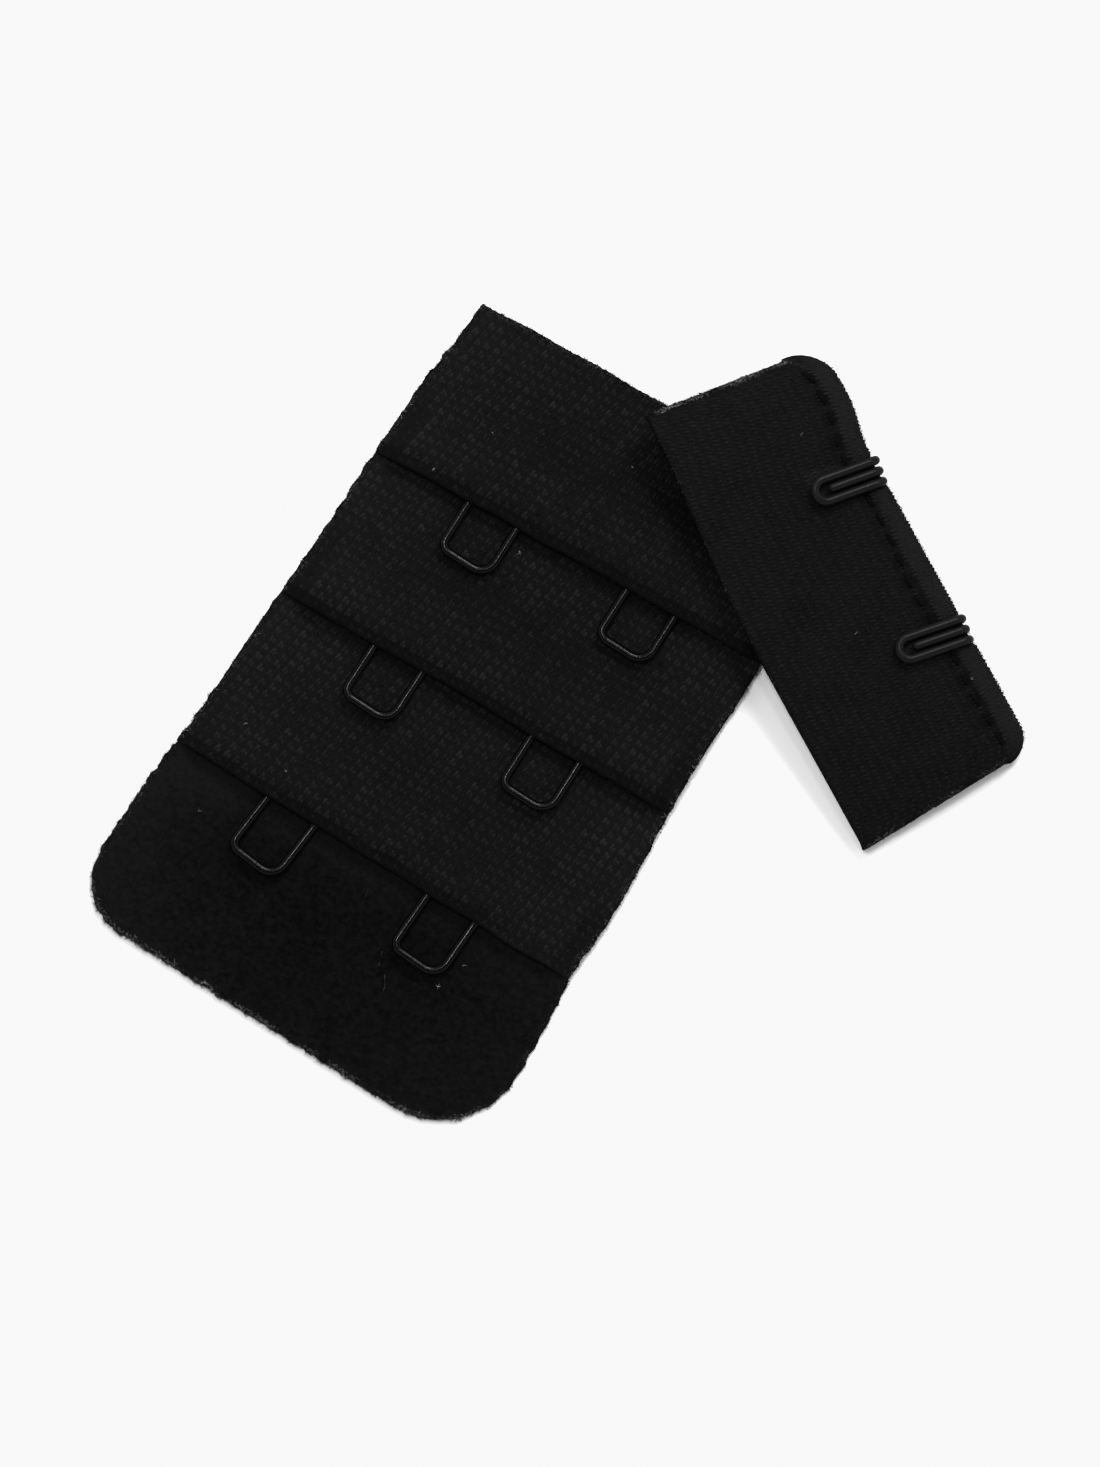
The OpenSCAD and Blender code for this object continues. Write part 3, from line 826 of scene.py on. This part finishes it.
# Painted highlight along the cut rim
RIM_PAINTED_HIGHLIGHT = 0.35
RIM_HIGHLIGHT_WIDTH = 0.9
RIM_ROUND = 0.6
RIM_DROP = 0.25


def bottom_y(x):
    """The bottom edge with its rounded corners, as a height up the tape."""
    bottom = -tape_top - BOTTOM_OUT - x * tan(BOTTOM_FALL)
    left = round_corner(x - left_x(bottom), LEFT_CORNER_R)
    up = left + round_corner(right_x(bottom) - x, RIGHT_CORNER_R)
    scallops = SCALLOP * waver(x, 0, BOTTOM_SCALLOP_PITCH, 7, 9)
    return bottom + up + (scallops + JAG * waver(x, 0, JAG_PITCH, 73))


def rim_distance(share, way):
    return np.minimum(np.minimum(share, 1 - share) * TAPE_WIDTH, way * TAPE_LENGTH)


def backing_surface(share, way):
    """The top of the plush. share goes from the left side to the right and way from the
    bottom edge to the top."""
    low = bottom_y(mix(left_x(-tape_top), right_x(-tape_top), share))
    y = mix(low, tape_top, way)
    jag = SCALLOP * waver(0, y, SIDE_SCALLOP_PITCH, 9, 9)
    x = mix(left_x(y) - jag, right_x(y) + jag, share)
    rim = np.clip(rim_distance(share, way) / RIM_ROUND, 0, 1)
    shown = fade(y, crease_y(2, x) - NAP_END, crease_y(2, x))
    nap = NAP_LUMPS * waver(x, y, NAP_LUMP_PITCH, 11, NAP_WAVES)
    nap = nap + NAP_GRAINS * waver(x, y, NAP_GRAIN_PITCH, 12, NAP_WAVES)
    z = BACKING_T - RIM_DROP * (1 - np.sqrt(rim * (2 - rim))) + (nap * rim - NAP_LOW) * shown
    x, y = as_cut(share, x, y)
    return np.stack([x, y, z], axis=-1)


def backing_tone(share, way):
    """Darkest in the middle of the shown plush and lighter towards the sides. It is lightest at
    the cut rim, a painted highlight, and painted light lifts it just below the last crease.
    """
    rim_highlight = RIM_PAINTED_HIGHLIGHT * fade(rim_distance(share, way), 0, RIM_HIGHLIGHT_WIDTH)
    side = np.abs(2 * share - 1) ** 3 * mix(*PLUSH_SIDE_LIGHTS, share)
    return follow(PLUSH_TONES, backing_surface(share, way)[:, 1]) + rim_highlight + side


shown_share = (crease_y(2, 0) + tape_top) / TAPE_LENGTH + 0.03
side_shares = np.r_[0, 0.003, 0.008, 0.015, 0.022:0.978:240j, 0.985, 0.992, 0.997, 1]
backing_rows = np.r_[0, 0.002, 0.005, 0.01, 0.014:shown_share:112j, 0.35:1:10j]


def make_backing():
    bm, _, _ = grid_on(backing_surface, side_shares, backing_rows, backing_tone)
    rim = [edge for edge in bm.edges if edge.is_boundary]
    made = bmesh.ops.extrude_edge_only(bm, edges=rim)["geom"]
    low = [part for part in made if isinstance(part, bmesh.types.BMVert)]
    bmesh.ops.scale(bm, vec=(1, 1, 0), verts=low)
    bmesh.ops.edgeloop_fill(bm, edges=[edge for edge in bm.edges if edge.is_boundary])
    bmesh.ops.recalc_face_normals(bm, faces=bm.faces)
    return finish_mesh(bm, "eye_backing_plush", cloths["plush_nap"])


backing = make_backing()
lie_as(backing, "eye_backing")
print("the backing has", len(backing.data.vertices), "points")

# %% [markdown]
# Each flap is one piece of knit: it comes from under the flap above, rolls over at its crease
# and ends in a hem below. The sheet made here is the ground of the knit, a little thinner
# than the whole cloth, because the loops are added on its face in the next step.

# %% Ground of the flaps
LOOP_RISE = 0.13
far_ends = [tape_top, crease_y(0, 0) + TUCK_LENGTH, crease_y(1, 0) + TUCK_LENGTH]
flap_columns = np.unique(np.r_[0:0.07:9j, 0.07:0.93:110j, 0.93:1:9j])


def flap_rows(row):
    """Grid lines along the knit, from the hem's raw edge over the crease to the far end."""
    far = far_ends[row] - crease_y(row, 0)
    hem_and_crease = np.r_[-HEM_WIDTH:-0.6:8j, -0.45:0.45:9j]
    return np.r_[hem_and_crease, 0.7:SETTLE_LENGTH:30j, SETTLE_LENGTH + 0.5 : far : 10j]


def make_flap(row):
    def ground(share, way):
        return flaps[row](share, way, -LOOP_RISE / 2)

    def tones(share, way):
        return knit_tone(row, share, way)

    name = f"eye_flap_{row + 1}"
    thickness = KNIT_T - LOOP_RISE
    rows = flap_rows(row)
    cloth = cloths["knit_ground"]
    sheet = make_sheet(
        name + "_knit", ground, flap_columns, rows, thickness, cloth, knit_share, tones
    )
    lie_as(sheet, name)
    return sheet


flap_sheets = [make_flap(row) for row in range(3)]
print("flaps made:", [sheet.name for sheet in flap_sheets])

# %% [markdown]
# What shows on the face of the knit is the legs of each loop. Its head goes down behind the
# feet of the loop above. A ring of points is extruded up a leg, spun over the head and extruded
# down the other leg. The legs are flattened, and the head and the feet are sunk. On the flaps
# the legs touch and the left one stands higher, so that each loop shows as one small dot.

# %% One loop of yarn
YARN_R = 0.2
LEG = 0.78
FOOT_DRAW = 0.92
FLATTEN = 0.46
LEG_BELLY = 0.1
HEAD_SINK = 0.14
FOOT_SINK = 0.1


def arch_top(reach, roll):
    return LEG_BELLY + YARN_R * FLATTEN + roll * reach


def ring_of(made):
    """The points and edges of the newest ring, from what an operator made."""
    verts = [part for part in made if isinstance(part, bmesh.types.BMVert)]
    edges = dict.fromkeys(edge for vert in verts for edge in vert.link_edges)
    return verts, [edge for edge in edges if all(vert in verts for vert in edge.verts)]


def extruded(bm, ring, step):
    """The ring after an extrusion of a ring by a step."""
    verts, edges = ring_of(bmesh.ops.extrude_edge_only(bm, edges=ring)["geom"])
    bmesh.ops.translate(bm, vec=step, verts=verts)
    return verts, edges


def make_arch(reach, roll, sides=6, steps=3):
    """One loop: it runs up its left leg, round its head and down its right leg. Both legs
    are a reach from its middle line. The roll lifts the left leg and sinks the right one."""
    bm = bmesh.new()
    foot = Matrix.Translation((-reach, -LEG, 0)) @ Matrix.Rotation(math.pi / 2, 4, "X")
    bmesh.ops.create_circle(bm, segments=sides, radius=YARN_R, matrix=foot)
    verts, edges = extruded(bm, bm.edges[:], (0, LEG / 2, 0))
    verts, edges = extruded(bm, edges, (0, LEG / 2, 0))
    spun = bmesh.ops.spin(
        bm, geom=verts + edges, cent=(0, 0, 0), axis=(0, 0, -1), angle=math.pi, steps=steps
    )
    verts, edges = ring_of(spun["geom_last"])
    verts, edges = extruded(bm, edges, (0, -LEG / 2, 0))
    extruded(bm, edges, (0, -LEG / 2, 0))
    bmesh.ops.holes_fill(bm, edges=[edge for edge in bm.edges if edge.is_boundary])
    bmesh.ops.recalc_face_normals(bm, faces=bm.faces)
    for vert in bm.verts:
        down = min(max(-vert.co.y / LEG, 0), 1)
        head = min(max(vert.co.y / reach, 0), 1)
        belly = LEG_BELLY * math.sin(math.pi * down)
        vert.co.x *= mix(1, FOOT_DRAW, down)
        vert.co.z = vert.co.z * FLATTEN + belly - HEAD_SINK * head - FOOT_SINK * down**3
        vert.co.z -= roll * vert.co.x
    return bm


# %% [markdown]
# The columns of loops lean a little more than the tape's sides, and the courses follow the
# crease and roll over it. No two loops are quite alike in place, turn, size or tone.

# %% Loops of the knit
WALES = 43
COURSE_PITCH = 0.88
WALE_LEAN = 6.3
PALE_LIGHT = 0.3
# From a cut edge to a loop, and from a loop to a wire
CUT_MARGIN = 0.03
YARN_GAP = 0.02
# A kind of loop varies in its place across and along, its turn, its size and its tone
FLAP_LOOP = {
    "reach": 0.17,
    "roll": 0.15,
    "turn": -WALE_LEAN - 5,
    "width": 1,
    "varies": (0.035, 0.04, 5, 0.07, 0.15),
    "pale": 0.02,
    "face": KNIT_T / 2,
}
shown_ways = [far_ends[0], crease_y(0, 0) + 0.9, crease_y(1, 0) + 0.9]


def add_loops(name, kind, rng, surface, across, along, wide, tone_at, cloth, slot):
    """Loops of one kind at places on a surface. wide is how many millimetres 1 across is."""
    count = len(along)
    aside, ahead, turn, size, tone = kind["varies"]
    across = across + rng.normal(0, aside, count) / wide
    along = along + rng.normal(0, ahead, count)
    turns = kind["turn"] + rng.normal(0, turn, count)
    scales = rng.normal(1, size, (count, 2)) * (kind["width"], 1)
    tones = tone_at(across, along) + rng.normal(0, tone, count)
    tones = np.clip(tones + PALE_LIGHT * (rng.random(count) < kind["pale"]), 0, 1)
    arch = make_arch(kind["reach"], kind["roll"])
    out = kind["face"] - arch_top(kind["reach"], kind["roll"])
    points = laid(arch, surface, across, along, turns, scales, out, wide)
    kept = clear_of_wires(points, YARN_GAP)
    make_copies(name, arch, points[kept], tones[kept], cloths[cloth])


def make_loops(row):
    rng = np.random.default_rng(100 + row)
    far = shown_ways[row] - crease_y(row, 0)
    courses = np.arange(-1.1, far + 0.4, COURSE_PITCH)
    wale, way = [grid.ravel() for grid in np.meshgrid(np.arange(-4, WALES + 4), courses)]
    share = (wale + 0.5) / WALES + way * tan(WALE_LEAN) / TAPE_WIDTH
    kept = (share > 0.003) & (share < 0.997)

    def cut_face(share, way, out):
        return flaps[row](np.clip(share, 0.001, 0.999), np.minimum(way, far - CUT_MARGIN), out)

    def tone_at(share, way):
        return knit_tone(row, share, way)

    name = f"eye_flap_{row + 1}_loops"
    share, way = share[kept], way[kept]
    yarn = ("knit_yarn", "flap_knit")
    add_loops(name, FLAP_LOOP, rng, cut_face, share, way, TAPE_WIDTH, tone_at, *yarn)


for row in range(3):
    make_loops(row)

# %% [markdown]
# The hook tape's ground is one sheet, from the open side of its upper layer, round the fold
# and back to the open side below. Its cut ends are a little ragged.

# %% Ground of the hook tape
END_RAG = 0.08
STRIP_RISE = 0.1


def strip_ground_place(u, share):
    """share goes from -1 at the upper layer's open side to 1 at the lower layer's."""
    back = share * half_way(u)
    end = np.clip(np.abs(u) / strip_end, 0, 1) ** 40
    ragged = u + END_RAG * end * waver(back, np.sign(u) * 3, JAG_PITCH, 41, 9)
    return strip_surface(np.clip(ragged, -strip_end, strip_end), back, -STRIP_RISE / 2)


end_steps = np.array([0, 0.1, 0.3, 0.6, 1.0, 1.5])
strip_columns = np.r_[end_steps - strip_end, 2 - strip_end : strip_end - 2 : 130j]
strip_columns = np.r_[strip_columns, strip_end - end_steps[::-1]]
strip_rows = np.r_[-1:-0.12:50j, -0.1:0.18:20j, 0.2:1:20j]
strip = make_sheet(
    "hook_tape_knit",
    strip_ground_place,
    strip_columns,
    strip_rows,
    STRIP_LAYER_T - STRIP_RISE,
    cloths["strip_ground"],
    lambda u, share: np.ones(len(u)),
    lambda u, share: strip_tone(u, share * half_way(u)),
)
strip_cut_width = 2 * float(half_way(0.0))
lie_as(strip, "hook_tape")
print("the strip was cut", round(strip_cut_width, 1), "mm wide")

# %% [markdown]
# The strip's columns of loops run across it: along the upper layer, round the fold and back
# along the lower layer. Its loops are narrower and their legs lie apart, so that this face
# looks smoother than the flaps.

# %% Loops of the hook tape
STRIP_WALE = 0.767
STRIP_COURSE = 0.89
STRIP_LEAN = 0.08
END_MARGIN = 0.1
STRIP_LOOP = {
    "reach": 0.23,
    "roll": 0,
    "turn": -11,
    "width": 0.8,
    "varies": (0.03, 0.035, 4, 0.06, 0.06),
    "pale": 0,
    "face": STRIP_LAYER_T / 2,
}


def make_strip_loops():
    rng = np.random.default_rng(7)
    longest = STRIP_WIDTH + 2
    wales = np.arange(-strip_end - 2, strip_end + 2, STRIP_WALE)
    courses = np.arange(-longest, longest, STRIP_COURSE)
    u, back = [grid.ravel() for grid in np.meshgrid(wales, courses)]
    u = u + STRIP_LEAN * (strip_side - np.abs(back)) * np.where(back < 0, 1, -1)
    inside = np.abs(back) < half_way(np.clip(u, -strip_end, strip_end)) - END_MARGIN
    kept = inside & (np.abs(u) < strip_end)

    def cut_face(u, back, out):
        u = np.clip(u, CUT_MARGIN - strip_end, strip_end - CUT_MARGIN)
        most = half_way(u) - CUT_MARGIN
        return strip_surface(u, np.clip(back, -most, most), out)

    u, back = u[kept], back[kept]
    yarn = ("strip_yarn", "strip_knit")
    add_loops("hook_tape_loops", STRIP_LOOP, rng, cut_face, u, back, 1, strip_tone, *yarn)


make_strip_loops()

# %% [markdown]
# Black thread holds the two layers together. Each stitch shows as a short dash in its groove:
# an icosphere drawn out long and laid on the cloth like the loops.

# %% Stitches
STITCH_SIZE = (0.72, 0.16, 0.1)
THREAD_TONE = 0.2


def make_stitches():
    bm = bmesh.new()
    bmesh.ops.create_icosphere(bm, subdivisions=2, radius=1)
    bmesh.ops.scale(bm, vec=STITCH_SIZE, verts=bm.verts)
    rng = np.random.default_rng(17)
    u = np.arange(-round(strip_end / STITCH_PITCH) + 1, round(strip_end / STITCH_PITCH))
    u = u * STITCH_PITCH
    back = stitch_v(u) + strip_mid - fold_quarter - fold_v(u)
    turns = rng.normal(3, 3, len(u))
    scales = rng.normal(1, 0.06, (len(u), 2))
    points = laid(bm, strip_surface, u, back, turns, scales, STRIP_LAYER_T / 2)
    tones = np.full(len(u), THREAD_TONE)
    thread = cloths["sewing_thread"]
    return make_copies("hook_tape_stitches", bm, points, tones, thread)


make_stitches()

# %% [markdown]
# The plush pile is short hair brushed in soft swirls. A hair is a thin bent blade: a small
# triangle that is extruded twice and grows thinner. The hairs lie low on the nap, the way that
# a smooth random field says.

# %% Pile of the plush
NAP_HAIRS = 5500
NAP_HAIR_R = 0.022
NAP_HAIR_TONE = 0.2
NAP_HAIR_SINK = 0.05
# Each step of a hair: its bend, its rise and how much thinner it grows
HAIR_STEPS = [(0.08, 0.35, 0.85), (0.22, 0.28, 0.3)]


def make_hair(radius):
    """A hair that stands up and bends towards its second axis."""
    bm = bmesh.new()
    bmesh.ops.create_circle(bm, cap_ends=True, segments=3, radius=radius)
    tip = list(bm.faces)
    for bend, rise, taper in HAIR_STEPS:
        made = bmesh.ops.extrude_discrete_faces(bm, faces=tip)
        tip = made["faces"]
        verts = tip[0].verts[:]
        bmesh.ops.translate(bm, vec=(0, bend, rise), verts=verts)
        middle = sum((vert.co for vert in verts), Vector()) / len(verts)
        bmesh.ops.scale(bm, vec=(taper,) * 3, space=Matrix.Translation(-middle), verts=verts)
    return bm


def make_pile():
    rng = np.random.default_rng(3)
    share = rng.random(NAP_HAIRS)
    way = rng.random(NAP_HAIRS) * shown_share
    places = backing_surface(share, way)
    heading = 1.2 * waver(places[:, 0], places[:, 1], 3, 61) - 1.9
    heading = heading + rng.normal(0, 0.7, NAP_HAIRS)
    flat = np.stack([np.cos(heading), np.sin(heading), 0 * heading], axis=1)
    stems = flat + np.array([0, 0, 1]) * rng.uniform(0.1, 0.6, NAP_HAIRS)[:, None]
    bends = flat * 0.3 - np.array([0, 0, 1])
    places[:, 2] -= NAP_HAIR_SINK
    lengths = rng.uniform(0.5, 1.0, NAP_HAIRS)
    tones = np.clip(NAP_HAIR_TONE + rng.normal(0, 0.1, NAP_HAIRS), 0, 1)
    hair = make_hair(NAP_HAIR_R)
    points = stood(hair, places, stems, bends, lengths)
    return make_copies("eye_backing_pile", hair, points, tones, cloths["plush_hair"])


make_pile()

# %% [markdown]
# Cut cloth is lighter along its edges, where the ends of the fibres catch the light, and here
# that light is painted on fibres. The fibres are the same hairs, thicker and shorter. Every
# other one is pale, a painted highlight, and lies on the cloth within half a millimetre of the
# edge, with a tone that changes slowly along it. The rest are black and stick out.

# %% Loose fibres along the cut edges
FIBRE_R = 0.055
FIBRE_STRAY = 0.5
PALE_RISE = 0.35
PALE_OVER = 0.03
EDGE_SINK = 0.1
EDGE_PATCH = 3.5
EDGE_PATCH_CONTRAST = 1.3
OVER_TABLE = 0.01


def make_fringe(name, surface, edges, reach, seed):
    """Fibres along edges of a surface. An edge is a number of fibres, the place across and along
    where it starts and where it ends, the step from it into the cloth, and its tone, the painted
    highlight of its pale fibres."""
    rng = np.random.default_rng(seed)
    starts, stems, tones = [], [], []
    for count, start, end, inwards, tone in edges:
        t = rng.random(count)
        pale = np.arange(count) % 2
        depth = pale * rng.random(count)
        across = mix(start[0], end[0], t) + depth * inwards[0]
        along = mix(start[1], end[1], t) + depth * inwards[1]
        here = surface(across, along)
        outwards = unit(here - surface(across + inwards[0], along + inwards[1]))
        ahead = mix(1, 0.2, pale)[:, None] * outwards + np.outer(pale, (0, 0, PALE_RISE))
        sunk = EDGE_SINK * (1 - pale)[:, None] * outwards
        starts.append(here - sunk + np.outer(pale, (0, 0, PALE_OVER)))
        stems.append(ahead + rng.normal(0, FIBRE_STRAY, (count, 3)))
        patches = waver(here[:, 0], here[:, 1], EDGE_PATCH, seed)
        shade = tone * (1 + EDGE_PATCH_CONTRAST * patches) + rng.normal(0, 0.06, count)
        tones.append(np.clip(shade, 0.02, 1) * pale)
    starts, stems, tones = [np.concatenate(parts) for parts in (starts, stems, tones)]
    count = len(starts)
    hair = make_hair(FIBRE_R)
    lengths = reach * rng.uniform(0.3, 1.1, count)
    points = stood(hair, starts, stems, rng.normal(0, 1, (count, 3)), lengths)
    points[:, :, 2] = np.maximum(points[:, :, 2], OVER_TABLE)
    return make_copies(name, hair, points, tones, cloths["loose_fibre_and_edge_highlight"])


def strip_face(u, share):
    return strip_surface(u, share * half_way(u), STRIP_LAYER_T / 2)


plush_edges = [
    (500, (0, 0), (0, shown_share), (0.009, 0), 0.2),
    (500, (1, 0), (1, shown_share), (-0.009, 0), 0.2),
    (2800, (0, 0), (1, 0), (0, 0.007), 0.34),
]
make_fringe("eye_backing_fringe", backing_surface, plush_edges, 0.55, 51)
for row in range(3):
    far = shown_ways[row] - crease_y(row, 0)
    flap_edges = [
        (420, (0, 0.3), (0, far), (0.009, 0), 0.38),
        (420, (1, 0.3), (1, far), (-0.009, 0), 0.34),
    ]
    if row == 0:
        flap_edges.append((1000, (0, far), (1, far), (0, -0.35), 0.3))

    def flap_face(share, way, row=row):
        return flaps[row](share, way, KNIT_T / 2)

    name = f"eye_flap_{row + 1}_fringe"
    make_fringe(name, flap_face, flap_edges, 0.5, 52 + row)

strip_edges = [
    (1300, (-strip_end, -1), (-strip_end, -0.1), (0.3, 0), 0.75),
    (700, (strip_end, -1), (strip_end, -0.1), (-0.35, 0), 0.25),
    (200, (-strip_end, 0.1), (-strip_end, 1), (0.1, 0), 0.4),
    (200, (strip_end, 0.1), (strip_end, 1), (-0.1, 0), 0.2),
    (500, (-strip_end, -1), (strip_end, -1), (0, 0.01), 0.1),
    (1000, (-strip_end, 0), (strip_end, 0), (0, -0.04), 0.22),
]
make_fringe("hook_tape_fringe", strip_face, strip_edges, 0.4, 55)

# %% [markdown]
# Black cloth picks up pale lint: a few specks on both halves, each of them some short hairs
# that cross, and three long faint fibres on the plush, each of them one thin hair.

# %% Lint
# Place on the eye tape or the hook tape, and length
PLUSH_LINT = [(-16.5, -18.7, 0.25), (10.35, -19.2, 0.28), (9.2, -22.0, 0.25)]
FLAP_LINT = [(0, -10.2, 22.7, 0.22), (0, -13.0, 17.5, 0.3), (2, -16.8, -10.1, 0.22)]
FLAP_LINT += [(2, -11.6, -12.0, 0.2), (0, 2.0, 26.0, 0.18), (1, -3.0, 14.6, 0.3)]
STRIP_LINT = [(-14, -5.4, 0.25), (12.6, -2.1, 0.22), (4.0, -9.0, 0.18)]
# Place of a fibre's start on the plush, its length and its heading in degrees
LONG_FIBRES = [(3.4, -21.6, 2.4, -62), (4.6, -23.3, 2.0, -50), (-0.2, -18.2, 1.2, 110)]
HAIR_REACH = 0.63
LINT_LIFT = 0.04
SPECK_R = 0.08
SPECK_TONE = 0.5
LONG_FIBRE_R = 0.009
LONG_FIBRE_TONE = 0.1


def side_share(x, y):
    return (x - left_x(y)) / (right_x(y) - left_x(y))


def on_plush(x, y):
    share = side_share(x, y)
    low = bottom_y(mix(left_x(-tape_top), right_x(-tape_top), share))
    return backing_surface(np.array([share]), np.array([(y - low) / (tape_top - low)]))[0]


def on_flap(row, x, y):
    return flaps[row](side_share(x, y), y - crease_y(row, x), KNIT_T / 2)


def make_lint(name, places, headings, lengths, radius, tone):
    """Hairs of one radius that lie at places and point along headings, in radians."""
    rng = np.random.default_rng(8)
    count = len(places)
    rises = rng.uniform(0, 0.15, count)
    stems = np.stack([np.cos(headings), np.sin(headings), rises], axis=1)
    bends = np.append(rng.normal(0, 1, (count, 2)), np.full((count, 1), -0.3), axis=1)
    hair = make_hair(radius)
    scales = np.array(lengths) / HAIR_REACH
    points = stood(hair, np.array(places) + (0, 0, LINT_LIFT), stems, bends, scales)
    return make_copies(name, hair, points, np.full(count, tone), cloths["lint_white"])


def make_specks(hairs=4):
    rng = np.random.default_rng(18)
    rows = [(on_plush(x, y), length) for x, y, length in PLUSH_LINT]
    rows += [(on_flap(row, x, y), length) for row, x, y, length in FLAP_LINT]
    rows += [(strip_surface(u, v, STRIP_LAYER_T / 2), length) for u, v, length in STRIP_LINT]
    places, lengths = zip(*[row for row in rows for _ in range(hairs)])
    count = len(places)
    headings = rng.uniform(0, 2 * math.pi, count)
    lengths = np.array(lengths) * rng.uniform(0.7, 1.3, count)
    return make_lint("lint_specks", places, headings, lengths, SPECK_R, SPECK_TONE)


make_specks()
fibre_x, fibre_y, fibre_lengths, fibre_headings = zip(*LONG_FIBRES)
make_lint(
    "lint_fibres",
    [on_plush(x, y) for x, y in zip(fibre_x, fibre_y)],
    np.radians(fibre_headings),
    fibre_lengths,
    LONG_FIBRE_R,
    LONG_FIBRE_TONE,
)

# %% [markdown]
# The table is a plain pale surface, much larger than the view. A small lamp close to the
# camera's direction gives each wire a thin light. A window to the upper right, lower down,
# brings out the loops of the knit, and a tiny lamp above it lights the bottoms of the eyes. The
# pale room is brighter round the sides than overhead, so the table has almost no shadows.

# %% Table
TABLE_SIZE = 3.0
TABLE_WHITE = 0.5
TABLE_ROUGHNESS = 0.9

table_bm = bmesh.new()
bmesh.ops.create_grid(table_bm, x_segments=1, y_segments=1, size=TABLE_SIZE / MM / 2)
table_material, table_tree, table_shader = node_material("table_white")
table_shader.inputs["Base Color"].default_value = (TABLE_WHITE, TABLE_WHITE, TABLE_WHITE, 1)
table_shader.inputs["Roughness"].default_value = TABLE_ROUGHNESS
table_shader.inputs["Specular IOR Level"].default_value = 0.0
table = finish_mesh(table_bm, "table", table_material)

# %% Light
# Name, turn and rise in degrees, side of the square and power in watts
LIGHTS = [("lamp", 28, 76, 0.12, 6), ("window", -25, 48, 0.25, 11), ("glint", -30, 75, 0.06, 1.3)]
LIGHT_DISTANCE = 0.9
ROOM_STRENGTH = 2.0
# Height of a direction and how bright the room is there
ROOM_TONES = [(0.6, 1), (0.9, 0.15)]


def area_light(name, turn, rise, size, power):
    """A square soft light whose direction is given by its turn from the picture's up
    direction, to the left, and its rise above the table, in degrees."""
    data = bpy.data.lights.new(name, "AREA")
    data.size = size
    data.energy = power
    light = add_object(name, data)
    heading = math.radians(VIEW_TURN + 90 + turn)
    up = math.radians(rise)
    flat = math.cos(up)
    way = Vector((math.cos(heading) * flat, math.sin(heading) * flat, math.sin(up)))
    light.location = way * LIGHT_DISTANCE
    light.rotation_euler = way.to_track_quat("Z", "Y").to_euler()


for row in LIGHTS:
    area_light(*row)


def pale_room():
    """Light from all round, whose strength depends on the height it comes from."""
    room = bpy.data.worlds.new("room")
    room.use_nodes = True
    tree = room.node_tree
    direction = tree.nodes.new("ShaderNodeTexCoord")
    parts = tree.nodes.new("ShaderNodeSeparateXYZ")
    tree.links.new(direction.outputs["Generated"], parts.inputs["Vector"])
    ramp = tree.nodes.new("ShaderNodeValToRGB")
    for element, (height, tone) in zip(ramp.color_ramp.elements, ROOM_TONES):
        element.position = height
        element.color = (tone, tone, tone, 1)
    tree.links.new(parts.outputs["Z"], ramp.inputs["Fac"])
    background = tree.nodes["Background"]
    tree.links.new(ramp.outputs["Color"], background.inputs["Color"])
    background.inputs["Strength"].default_value = ROOM_STRENGTH
    return room


bpy.context.scene.world = pale_room()
print("light set")

# %% [markdown]
# The photograph is exposed so that the table is just under white. A tone curve, as in any
# camera, does the same here: strong light ends at one pale value, and the darkest tones are
# held down a little.

# %% Tone curve
TONE_POINTS = [(0.1, 0.05), (0.5, 0.45), (1.0, 0.945)]
view = bpy.context.scene.view_settings
view.view_transform = "Standard"
view.use_curve_mapping = True
curve = view.curve_mapping.curves[3]
curve.points[-1].location = TONE_POINTS[-1]
for point in TONE_POINTS[:-1]:
    curve.points.new(*point)
for point in curve.points:
    point.handle_type = "VECTOR"
view.curve_mapping.extend = "HORIZONTAL"
view.curve_mapping.update()
